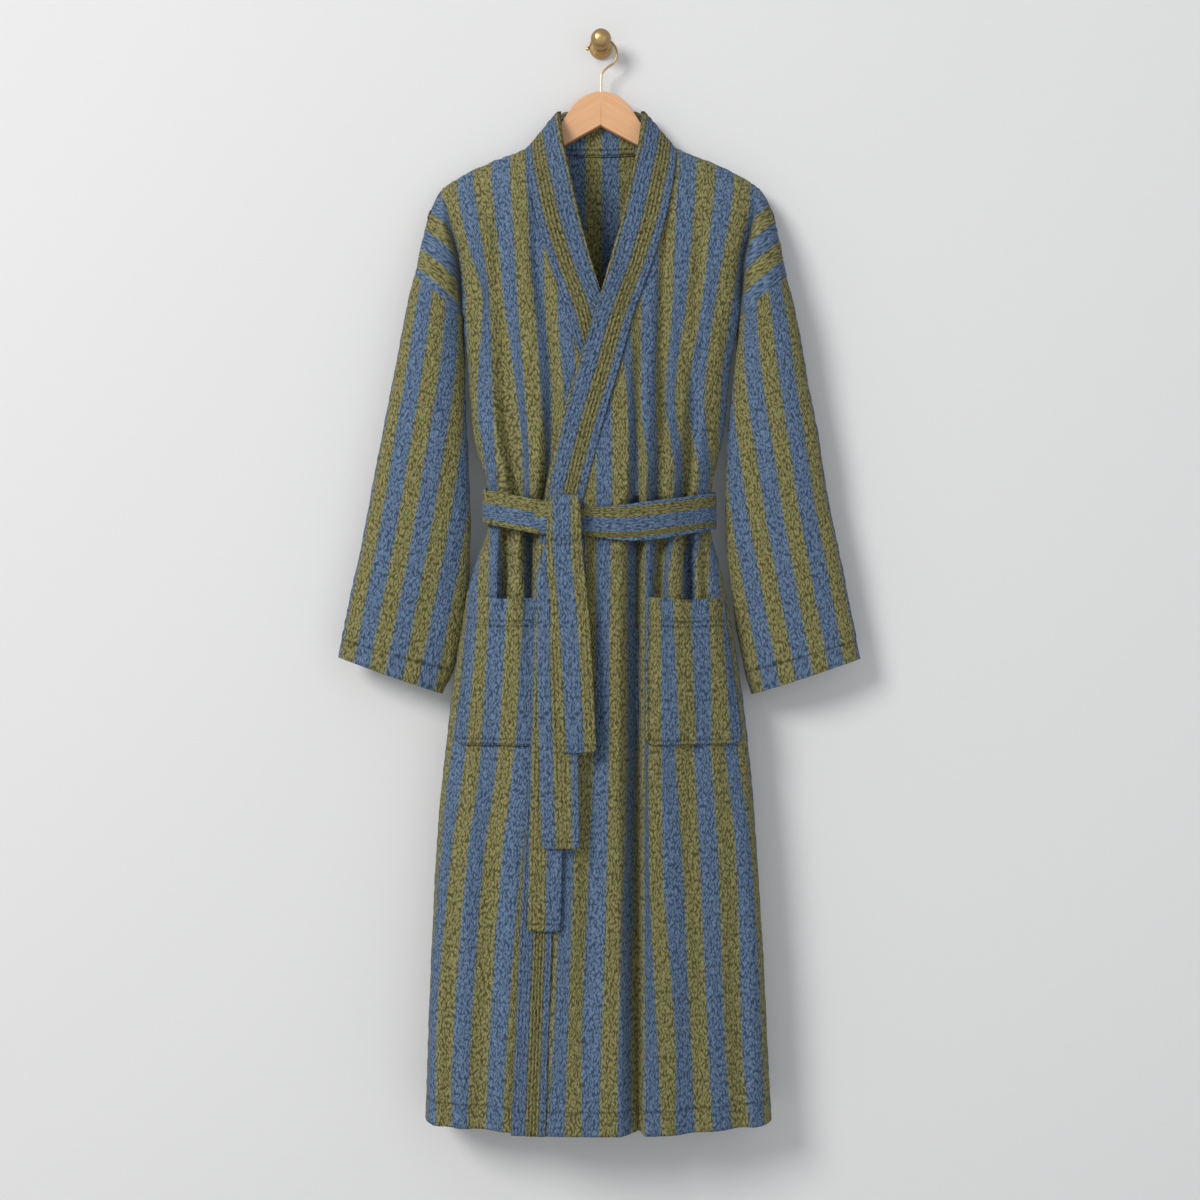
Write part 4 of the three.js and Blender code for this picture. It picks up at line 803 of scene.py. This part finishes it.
def front_panel(hand, name):
    share = FRONT_COLUMNS["share"]
    s = spans((0, share, FRONT_COLUMNS["flat"]), (share, 1, FRONT_COLUMNS["turned"]))
    k = UPPER_ROWS[:, None]
    drop = drop_curve(k)
    arm_x, arm_z, middle, swell = armhole(k)
    z_in = mix(NECK_Z, UNDERARM_Z, drop)
    top_x, top_z = mix(NECK_X, TIP_X, s), mix(NECK_Z, TIP_Z, s)
    x = mix(-hand * level["seam"](z_in), hand * arm_x, s)
    x = x + hand * (1 - drop) * (shoulder_x(s) - top_x)
    z = mix(z_in, arm_z, s) + (1 - drop) * (shoulder_z(s) - top_z)
    off = np.hypot(x - hand * arm_x, z - arm_z)
    miss = middle + swell - laid_depth(hand, hand * arm_x, arm_z)
    depth = laid_depth(hand, x, z) + miss * (1 - soft(off / ARMHOLE_BLEND))
    inside = inward(x, z)
    fade = soft((VALLEY_CREASE["from"] - z) / VALLEY_CREASE["fade"]) * soft(off / VALLEY_CREASE["clear"])
    depth = depth - VALLEY_CREASE["deep"] * fade * np.exp(-(inside / VALLEY_CREASE["half"]) ** 2)
    depth = depth - creases(hand, x, z)
    depth[0] = shoulder_depth(s)
    upper = placed(x, depth, z)
    z = BODY_Z[:, None]
    x = mix(-hand * level["seam"](z), hand * side_x(z, float(hand)), s)
    outer = np.concatenate([upper, placed(x, laid_depth(hand, x, z) - creases(hand, x, z), z)])
    z = outer[..., 2]
    across = turned_across(across_field(hand, STRIPE_LINES)(outer[..., 0], z), outer)
    return shell(name, outer, CLOTH, FORWARD, across, -z, z - HEM_Z, panel_fleece,
                 11 + hand)


def back_panel(name):
    share = BACK_COLUMNS["share"]
    columns = spans((0, share, BACK_COLUMNS["shoulder"]), (share, 1 - share, BACK_COLUMNS["neck"]),
                    (1 - share, 1, BACK_COLUMNS["shoulder"]))
    hand = np.where(columns < 0.5, -1.0, 1.0)
    v = np.where(columns < 0.5, columns, 1 - columns)
    on_shoulder = v <= share
    along = clamp(1 - v / share)
    neck_x = mix(-NECK_X, NECK_X, (columns - share) / (1 - 2 * share))
    top_x = np.where(on_shoulder, hand * shoulder_x(along), neck_x)
    top_z = np.where(on_shoulder, shoulder_z(along), neck_seam_z(neck_x))
    k = UPPER_ROWS[:, None]
    drop = drop_curve(k)
    arm_x, arm_z, middle, swell = armhole(k)
    flat = mix(-TIP_X, TIP_X, columns)
    x = mix(-arm_x, arm_x, columns) + (1 - drop) * (top_x - flat)
    z = arm_z + (1 - drop) * (top_z - TIP_Z)
    off = np.hypot(np.abs(x) - arm_x, z - arm_z)
    miss = middle - swell - back_depth(arm_x, arm_z)
    depth = back_depth(x, z) + miss * (1 - soft(off / ARMHOLE_BLEND))
    depth[0] = np.where(on_shoulder, shoulder_depth(along), neck_depth(np.abs(neck_x)))
    upper = placed(x, depth, z)
    z = BODY_Z[:, None]
    x = mix(level["right"](z), level["left"](z), columns)
    outer = np.concatenate([upper, placed(x, back_depth(x, z), z)])
    step = np.diff(outer, axis=1)
    step = np.hypot(step[..., 0], BACK_SPREAD * step[..., 1])
    across = np.concatenate([np.zeros((len(outer), 1)), np.cumsum(step, axis=1)], axis=1)
    centre = len(columns) // 2
    across = across - across[:, centre:centre + 1]
    across = across + outer[:, centre:centre + 1, 0] + BACK_ACROSS
    z = outer[..., 2]
    return shell(name, outer, CLOTH, BACKWARD, across, -z, z - HEM_Z, panel_fleece, 21)


def neck_seam_z(x):
    return NECK_Z - NECK_DROP * (1 - (np.abs(x) / NECK_X) ** 2)


def front_band(hand, name):
    behind, wide = GRIDS["band"]
    v = np.linspace(0, 1, wide)[None, :]
    rows = []
    for x in np.linspace(BAND_END_X, NECK_X, behind)[:-1]:
        share = (x - BAND_END_X) / (NECK_X - BAND_END_X)
        depth = neck_depth(x)
        top_z = COLLAR_TOP + mix(COLLAR_PILE["back"], COLLAR_PILE["peak"], soft(share))
        top_x = mix(BAND_END_X, COLLAR_TOP_X, share)
        rows.append(((hand * x, -depth, neck_seam_z(x)), (hand * top_x, -depth, top_z)))
    depth = SHOULDER[0][2]
    peak_z = COLLAR_TOP + COLLAR_PILE["peak"]
    rows.append(((hand * NECK_X, -depth, NECK_Z), (hand * COLLAR_TOP_X, -depth, peak_z)))
    rows = np.array(rows)
    behind = mix(rows[:, None, 0], rows[:, None, 1], v[..., None])
    z = np.concatenate([mix(NECK_Z, UNDERARM_Z, drop_curve(UPPER_ROWS[1:])), BODY_Z])[:, None]
    below = NECK_Z - z
    stand = np.exp(-below / COLLAR_RISE["fade"]) * (1 - soft(below / COLLAR_RISE["until"]))
    rise = COLLAR_RISE["high"] * stand
    x = mix(-hand * level["seam"](z), -hand * level["edge"](z + rise), v)
    z = z + (rise + COLLAR_PILE["peak"] * stand) * v
    outer = np.concatenate([behind, placed(x, laid_depth(hand, x, z) + BAND_PROUD, z)])
    wide = np.linalg.norm(np.diff(outer, axis=1), axis=2).sum(1)
    across = np.interp(v * np.clip(wide, *BAND_CUT[0][-2:])[:, None], *BAND_CUT)
    length = run_along(outer[:, outer.shape[1] // 2])[:, None]
    return shell(name, outer, BAND, (hand * 0.2, -1, 0.2), across, length, outer[..., 2] - HEM_Z,
                 band_fleece, 31 + hand, drape=BAND_DRAPE)


def back_neck(name):
    v, x = grid_shares("neck")
    x = mix(-BAND_END_X, BAND_END_X, x)
    z = mix(COLLAR_TOP + COLLAR_PILE["back"], neck_seam_z(x), v)
    return shell(name, placed(x, neck_depth(np.abs(x)), z), BAND, BACKWARD, x + BACK_ACROSS, -z,
                 z - neck_seam_z(x), neck_fleece, 41)


def sleeve(hand, name):
    rows = SLEEVES[name.split("_")[1]]
    table = [(k, *row) for k, row in enumerate(rows)]
    high, around = GRIDS["sleeve"]
    fine = np.linspace(0, len(rows) - 1, high)
    out_x, out_z, in_x, in_z, middle, swell = (curve(table, 0, k)(fine)[:, None] for k in range(1, 7))
    angle = (2 * np.pi * np.arange(around) / around)[None, :]
    lean = clamp(1 - fine)[:, None] * (valley_depth(UNDERARM_Z) - TIP_DEPTH) / 2
    x = (out_x + in_x) / 2 + np.cos(angle) * (out_x - in_x) / 2
    z = (out_z + in_z) / 2 + np.cos(angle) * (out_z - in_z) / 2
    outer = placed(x, middle - lean * np.cos(angle) + swell * np.sin(angle), z)
    step = np.linalg.norm(np.diff(outer, axis=1, append=outer[:, :1]), axis=2)
    across = np.cumsum(step, axis=1) - step
    across = np.where(angle > np.pi, across - step.sum(1)[:, None], across) + SLEEVE_ACROSS
    length = run_along(outer[:, 0])[:, None]
    return shell(name, outer, CLOTH, outer - outer.mean(1, keepdims=True), across, length,
                 length.max() - length, cuff_fleece, 51 + hand, wrapped=True)


def pocket(hand, name):
    place = dict(zip(POCKET_NAMES, POCKETS[name.split("_")[1]]))
    down, v = grid_shares("pocket")
    z_row = mix(place["mouth_z"], place["bottom_z"], down)
    short = POCKET_CORNER * (1 - quarter_round((z_row - place["bottom_z"]) / POCKET_CORNER_HIGH))
    start = mix(place["mouth_in"], place["bottom_in"], down) + hand * short
    end = mix(place["mouth_out"], place["bottom_out"], down) - hand * short
    x = mix(start, end, v)
    z = z_row - (1 - down) * POCKET_SAG * np.sin(np.pi * v)
    sides = np.minimum(soft(v / POCKET_SEWN["side"]), soft((1 - v) / POCKET_SEWN["side"]))
    sewn = np.minimum(sides, soft((1 - down) / POCKET_SEWN["bottom"]))
    pressed = 1 if hand > 0 else soft((POCKET_PRESSED["clear"] - x) / POCKET_PRESSED["fade"])
    shift = lap(x, z) if hand > 0 else 0
    depth = front_depth(x, z)
    trough = front_envelope(x, z) - depth
    swell = sewn * pressed * (POCKET_BULGE * (1 - down) + POCKET_SPANS * trough)
    slope = (front_depth(x + SLOPE_REACH, z) - front_depth(x - SLOPE_REACH, z)) / (2 * SLOPE_REACH)
    steep = np.minimum(POCKET_STEEPEST, np.hypot(1, slope))
    outer = placed(x, depth + shift + swell + (POCKET_GAP + POCKET_CLOTH) * steep, z)
    below_mouth = place["mouth_z"] - z_row
    high = place["mouth_z"] - place["bottom_z"]
    inwards = np.minimum(np.abs(x - x[:, :1]), np.abs(x - x[:, -1:]))
    edge = np.where(inwards < POCKET_HEM, np.maximum(below_mouth, high - inwards), below_mouth)
    return shell(name, outer, POCKET_CLOTH, FORWARD, across_field(hand, POCKET_LINES)(x, z), -z,
                 edge, pocket_fleece, 61 + hand, drape=POCKET_DRAPE)


def strap(name, at, across_way, out, wide, run, seed, cloth_at, closed=False, edge=NO_EDGE, pinch=None):
    """A flat doubled strap swept along a path, with round edges. cloth_at gives the place across
    the cloth from that across the strap, and pinch how far a place is drawn in."""
    angle = np.linspace(0, 2 * np.pi, GRIDS["strap"], endpoint=False)
    shape_w = np.sign(np.cos(angle)) * np.abs(np.cos(angle)) ** 0.35
    shape_t = np.sign(np.sin(angle)) * np.abs(np.sin(angle)) ** 0.55
    place = shape_w * wide[:, None] / 2
    rings = at[:, None] + across_way[:, None] * place[..., None] \
        + out[:, None] * (shape_t[:, None] * BELT_THICK / 2)
    across, length = cloth_at(place), run[:, None]
    lumps = BELT_LUMPS * lattice_noise(across + 9 * (shape_t > 0), length, *NAP_SIZE, seed)
    rings = rings + out[:, None] * (lumps * shape_t)[..., None]
    if pinch is not None:
        rings = rings - out[:, None] * (pinch(place) * (shape_t > 0))[..., None]
    return tube(name, rings, across, length, edge, closed)


def belt_waist(name):
    front_z, front_wide = curve(BELT_FRONT, 0, 1), curve(BELT_FRONT, 0, 2)
    waist = float(WAIST_Z)

    def swept(count, way):
        turn = way * np.cos(np.pi * (np.arange(count) + 0.5) / count)
        return turn, np.where(turn > 0, level["left"](waist), -level["right"](waist))

    half, behind = GRIDS["waist"]
    turn, reach = swept(half, 1)
    x = turn * reach
    front = np.stack([x + turn * BELT_SIDE, -over(x, np.full(x.shape, waist))], 1)
    turn, reach = swept(behind, -1)
    side = quarter_round((1 - np.abs(turn)) * reach / BACK_ROUND)
    depth = mix(valley_depth(waist), level["back"](waist), side)
    back = np.stack([turn * (reach + BELT_SIDE), -depth], 1)
    plan = np.concatenate([front, back])
    step = np.roll(plan, -1, 0) - np.roll(plan, 1, 0)
    step = step / np.linalg.norm(step, axis=1, keepdims=True)
    out = np.stack([-step[:, 1], step[:, 0], np.zeros(len(step))], 1)
    is_front = np.arange(len(plan)) < half
    x = plan[:, 0]
    end_x = np.where(x < 0, BELT_FRONT[0][0], BELT_FRONT[-1][0])
    end_z = np.where(x < 0, BELT_FRONT[0][1], BELT_FRONT[-1][1])
    z = np.where(is_front, front_z(x), mix(BELT_BACK_Z, end_z, (x / end_x) ** 2))
    wide = np.where(is_front, front_wide(x), BELT_WIDE)
    at = np.stack([x, plan[:, 1], z], 1) + out * (BELT_GAP + BELT_THICK / 2)
    up = np.tile([0.0, 0, 1], (len(at), 1))
    on_right = ((x < KNOT["x"]) & is_front)[:, None]

    def cloth_at(place):
        return np.where(on_right, np.interp(place, *BELT_RIGHT_CUT), np.interp(place, *BELT_LEFT_CUT))

    def pinch(place):
        share = (x - PINCH["from"]) / (PINCH["to"] - PINCH["from"])
        line = mix(PINCH["low"], PINCH["high"], share)[:, None]
        fade = (soft(1 - share) * (share > -0.5) * is_front)[:, None]
        return PINCH["deep"] * fade * np.exp(-((place - line) / PINCH["half"]) ** 2)

    return strap(name, at, up, out, wide, run_along(at), 71, cloth_at, closed=True, pinch=pinch)


def belt_tail(name):
    lift, rows = TAILS[name]
    middle, wide = curve(rows, 0, 1), curve(rows, 0, 2)
    z = np.linspace(rows[0][0], rows[-1][0], int(abs(rows[-1][0] - rows[0][0]) / TAIL_STEP))
    x = middle(z)
    wraps = name == "belt_tail_front"
    knot = (1 - soft((KNOT_DROP["from"] - z) / KNOT_DROP["high"])) * wraps
    lean = (over(x + TAIL_REACH, z) - over(x - TAIL_REACH, z)) / (2 * TAIL_REACH)
    size = np.hypot(1, lean)
    depth = over(x, np.minimum(z, WAIST_Z)) + lift + BELT_THICK / 2 + knot * KNOT_LIFT
    from_top = (rows[0][0] - z) / WRAP_TURN["high"]
    depth = depth - wraps * WRAP_TURN["back"] * (1 - quarter_round(from_top))
    at = placed(x, depth, z)
    across_way = np.stack([1 / size, -lean / size, 0 * size], 1)
    out = np.cross(np.gradient(at, axis=0), across_way)
    out = out / np.linalg.norm(out, axis=1, keepdims=True)
    out = out * np.where(out[:, 1:2] > 0, -1, 1)
    round_off = mix(STRAP_END["narrow"], 1, quarter_round((z - rows[-1][0]) / STRAP_END["high"]))
    if wraps:
        from_top = (rows[0][0] - z) / WRAP_TURN["round"]
        round_off = round_off * mix(WRAP_TURN["narrow"], 1, quarter_round(from_top))
    shift = TAIL_SHIFTS[name]
    return strap(name, at, across_way, out, wide(z) * round_off, -z, 81,
                 lambda place: place + shift, edge=(z - rows[-1][0])[:, None])


# The knot's outline: how far forward, and its size there
KNOT_SIZES = [(0, 0.82), (0.06, 0.95), (0.13, 1), (0.38, 0.99), (0.5, 0.97), (0.63, 0.92),
              (0.75, 0.82), (0.88, 0.62), (0.96, 0.4), (1, 0.2)]
KNOT_ACROSS = -2


def belt_knot(name):
    """The knot: a flattened pillow of wound fleece."""
    high, around = GRIDS["knot"]
    v = np.linspace(0, 1, high)[:, None]
    angle = (2 * np.pi * np.arange(around) / around)[None, :]
    size = curve(KNOT_SIZES)(v)
    x = KNOT["x"] + KNOT["half_x"] * size * np.cos(angle)
    z = KNOT["z"] + KNOT["half_z"] * size * np.sin(angle)
    depth = over(x, np.full(x.shape, float(WAIST_Z))) + mix(KNOT["back"], KNOT["front"], v)
    return tube(name, placed(x, depth, z), z - KNOT["z"] + KNOT_ACROSS, x, NO_EDGE)


back_panel("back_panel")
for hand, side in ((-1, "right"), (1, "left")):
    front_panel(hand, "front_" + side)
    front_band(hand, "band_" + side)
    sleeve(hand, "sleeve_" + side)
    pocket(hand, "pocket_" + side)
back_neck("band_back_neck")
belt_waist("belt_waist")
belt_knot("belt_knot")
for tail in TAILS:
    belt_tail(tail)


# Grain of the wood: its slope, fibres to the metre across, along and through it, and the range of
# the noise over which it darkens
GRAIN = {"lean": 0.62, "down": 620, "along": 16, "through": 60, "from": 0.38, "to": 0.66}


# Hanger with a close mitre; the hook and the knob keep their CAD shapes
def beech():
    """Satin beech: warm tan, fine darker grain running up each half to a chevron in the middle."""
    material, tree = new_material("satin_beech")
    place = add(tree, "TexCoord").outputs["Object"]
    x, y, z = add(tree, "SeparateXYZ", links={0: place}).outputs[:3]
    away = maths(tree, "ABSOLUTE", x)
    down = maths(tree, "ADD", z, maths(tree, "MULTIPLY", away, GRAIN["lean"]))
    along = maths(tree, "SUBTRACT", away, maths(tree, "MULTIPLY", z, GRAIN["lean"]))
    fibre = [maths(tree, "MULTIPLY", way, GRAIN[key])
             for way, key in ((down, "down"), (along, "along"), (y, "through"))]
    flow = add(tree, "CombineXYZ", links=dict(enumerate(fibre)))
    grain = noise(tree, flow.outputs[0], 1.0, 3.0, 0.6, 0.4)
    ring = add(tree, "MapRange", links={"Value": grain.outputs["Fac"]},
               values={"From Min": GRAIN["from"], "From Max": GRAIN["to"]})
    principled(tree, {"Base Color": blend(tree, ring.outputs[0], "#e1ae81", "#d5a072")},
               {"Roughness": 0.42, "Coat Weight": 0.15, "Coat Roughness": 0.3})
    return material


def brass():
    """Softly polished brass: warm gold with broad highlights."""
    material, tree = new_material("soft_brass")
    principled(tree, values={"Base Color": linear("#c8a775"), "Metallic": 1.0, "Roughness": 0.38})
    return material


HANGER = {"middle": 20, "thick": 11, "round": 1.5, "arch_z": -111, "arch_r": 46, "turn": 55,
          "mitre": 0.15}
HANGER_TOP = [(-54, -109), (-66, -126), (-98, -151), (-140, -164), (-186, -189.5), (-193, -195)]
HANGER_REST = [(-196, -202), (-192, -209), (-183, -208), (-98, -169), (-53, -137.5), (0, -109.6)]


def hanger_outline():
    """The right half seen from the front: over the arch, down the top edge and back under it."""
    turn = np.radians(90 + np.linspace(0, HANGER["turn"], 25))
    arch = [(HANGER["arch_r"] * math.cos(a), HANGER["arch_z"] + HANGER["arch_r"] * math.sin(a))
            for a in turn]
    top = curve(HANGER_TOP)
    slope = [(x, float(top(x))) for x in np.linspace(HANGER_TOP[0][0], HANGER_TOP[-1][0], 44)]
    outline = np.array([*arch, *slope, *HANGER_REST])
    outline[:, 0] = np.minimum(outline[:, 0], -HANGER["mitre"])
    return outline


def drawn_in(outline, inset):
    """The outline moved inwards, except at the mitre, which is its closing edge."""
    edge = np.roll(outline, -1, 0) - outline
    edge = edge / np.linalg.norm(edge, axis=1, keepdims=True)
    normal = np.stack([edge[:, 1], -edge[:, 0]], 1)
    if (normal * (outline - outline.mean(0))).sum() < 0:
        normal = -normal
    before = np.roll(normal, 1, 0)
    moved = outline - inset * (before + normal) / (1 + (before * normal).sum(1))[:, None]
    moved[[0, -1]] = outline[[0, -1]] - inset * np.stack([0 * normal[[0, -2], 0],
                                                         1 / normal[[0, -2], 1]], 1)
    return moved


def hanger_half(hand, name, material):
    outline = hanger_outline()
    steps = np.radians([0, 30, 60, 90])
    sunk = [(HANGER["round"] * (1 - math.sin(a)), HANGER["round"] * (1 - math.cos(a))) for a in steps]
    back, front = (HANGER["middle"] + side * HANGER["thick"] / 2 for side in (-1, 1))
    rings = [(inset, back + below) for inset, below in sunk]
    rings += [(inset, front - below) for inset, below in reversed(sunk)]
    points = []
    for inset, depth in rings:
        points += [(hand * -x * MM, -depth * MM, z * MM) for x, z in drawn_in(outline, inset)]
    count, last = len(outline), len(points) - len(outline)
    faces = grid_faces(len(rings), count)[:, [0, 3, 2, 1]].tolist()
    faces += [list(range(count)), list(range(last, last + count))]
    mesh = bpy.data.meshes.new(name + "_wood")
    mesh.from_pydata(points, [], faces)
    shape = bmesh.new()
    shape.from_mesh(mesh)
    bmesh.ops.recalc_face_normals(shape, faces=shape.faces)
    shape.to_mesh(mesh)
    shape.free()
    mesh.polygons.foreach_set("use_smooth", [len(face) == 4 for face in faces])
    stand_for(name, new_object(name + "_wood", mesh, material))


wood, metal = beech(), brass()
hanger_half(-1, "hanger_right", wood)
hanger_half(1, "hanger_left", wood)
for name, finish in (("hanger_hook", metal), ("wall_knob", metal), ("wall_rose", metal)):
    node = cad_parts[name]
    node.data.materials.clear()
    node.data.materials.append(finish)


# Wall, floor, light and camera
def plain(name, colour, one_sided):
    """Matt painted plaster; a one-sided wall lets the eye through from behind, and lets the light
    of the room past it, so that the back of what hangs on it isn't black."""
    material, tree = new_material(name)
    surface = add(tree, "BsdfDiffuse", values={"Color": linear(colour), "Roughness": 0.5})
    shown = surface.outputs[0]
    if one_sided:
        clear = add(tree, "BsdfTransparent")
        behind = add(tree, "NewGeometry").outputs["Backfacing"]
        seen = add(tree, "LightPath").outputs["Is Camera Ray"]
        past = maths(tree, "MAXIMUM", behind, maths(tree, "SUBTRACT", 1.0, seen))
        both = add(tree, "MixShader", links={0: past, 1: shown, 2: clear.outputs[0]})
        shown = both.outputs[0]
    add(tree, "OutputMaterial", links={"Surface": shown})
    return material


def stage_plane(name, corners, material):
    mesh = bpy.data.meshes.new(name)
    mesh.from_pydata(corners, [], [(0, 1, 2, 3)])
    new_object(name, mesh, material)


FLOOR_Z, WALL_TOP, WALL_HALF, FLOOR_FRONT = -1.75, 3, 4, -5
WALL_Y = 0.0012
stage_plane("wall", [(-WALL_HALF, WALL_Y, FLOOR_Z), (WALL_HALF, WALL_Y, FLOOR_Z),
                     (WALL_HALF, WALL_Y, WALL_TOP), (-WALL_HALF, WALL_Y, WALL_TOP)],
            plain("wall_paint", "#e4e4e4", True))
stage_plane("floor", [(-WALL_HALF, FLOOR_FRONT, FLOOR_Z), (WALL_HALF, FLOOR_FRONT, FLOOR_Z),
                      (WALL_HALF, WALL_Y, FLOOR_Z), (-WALL_HALF, WALL_Y, FLOOR_Z)],
            plain("floor_paint", "#dcdcda", False))


def area_light(name, at, target, size, power, colour):
    data = bpy.data.lights.new(name, "AREA")
    data.shape = "DISK"
    data.size = size
    data.energy = power
    data.color = linear(colour)[:3]
    obj = bpy.data.objects.new(name, data)
    obj.location = at
    way = [t - a for t, a in zip(target, at)]
    pitch = math.atan2(math.hypot(way[0], way[1]), -way[2])
    obj.rotation_euler = (pitch, 0, math.atan2(-way[0], way[1]))
    bpy.context.scene.collection.objects.link(obj)


# Lights: place, what they look at, width, power and colour
LIGHTS = {
    "key": ((-2.9, -3.5, 1.5), (0, 0, -0.7), 1.9, 166, "#fffdfa"),
    "fill": ((1.6, -3.0, -0.2), (0, 0, -0.8), 2.6, 11, "#f4f7ff"),
}
ROOM_LIGHT, ROOM_COLOUR = 0.53, "#eef1f5"
for name, (at, target, size, power, colour) in LIGHTS.items():
    area_light(name, at, target, size, power, colour)
world = bpy.data.worlds.new("room")
world.use_nodes = True
world.node_tree.nodes["Background"].inputs[0].default_value = linear(ROOM_COLOUR)
world.node_tree.nodes["Background"].inputs[1].default_value = ROOM_LIGHT
bpy.context.scene.world = world
bpy.context.scene.view_settings.view_transform = "Standard"

CAMERA_AT = (-0.0013, -2.192, -0.7264)
camera_data = bpy.data.cameras.new("camera")
camera_data.lens = 50
camera_data.sensor_width = 36
camera = bpy.data.objects.new("camera", camera_data)
camera.location = CAMERA_AT
camera.rotation_euler = (math.pi / 2, 0, 0)
bpy.context.scene.collection.objects.link(camera)
bpy.context.scene.camera = camera
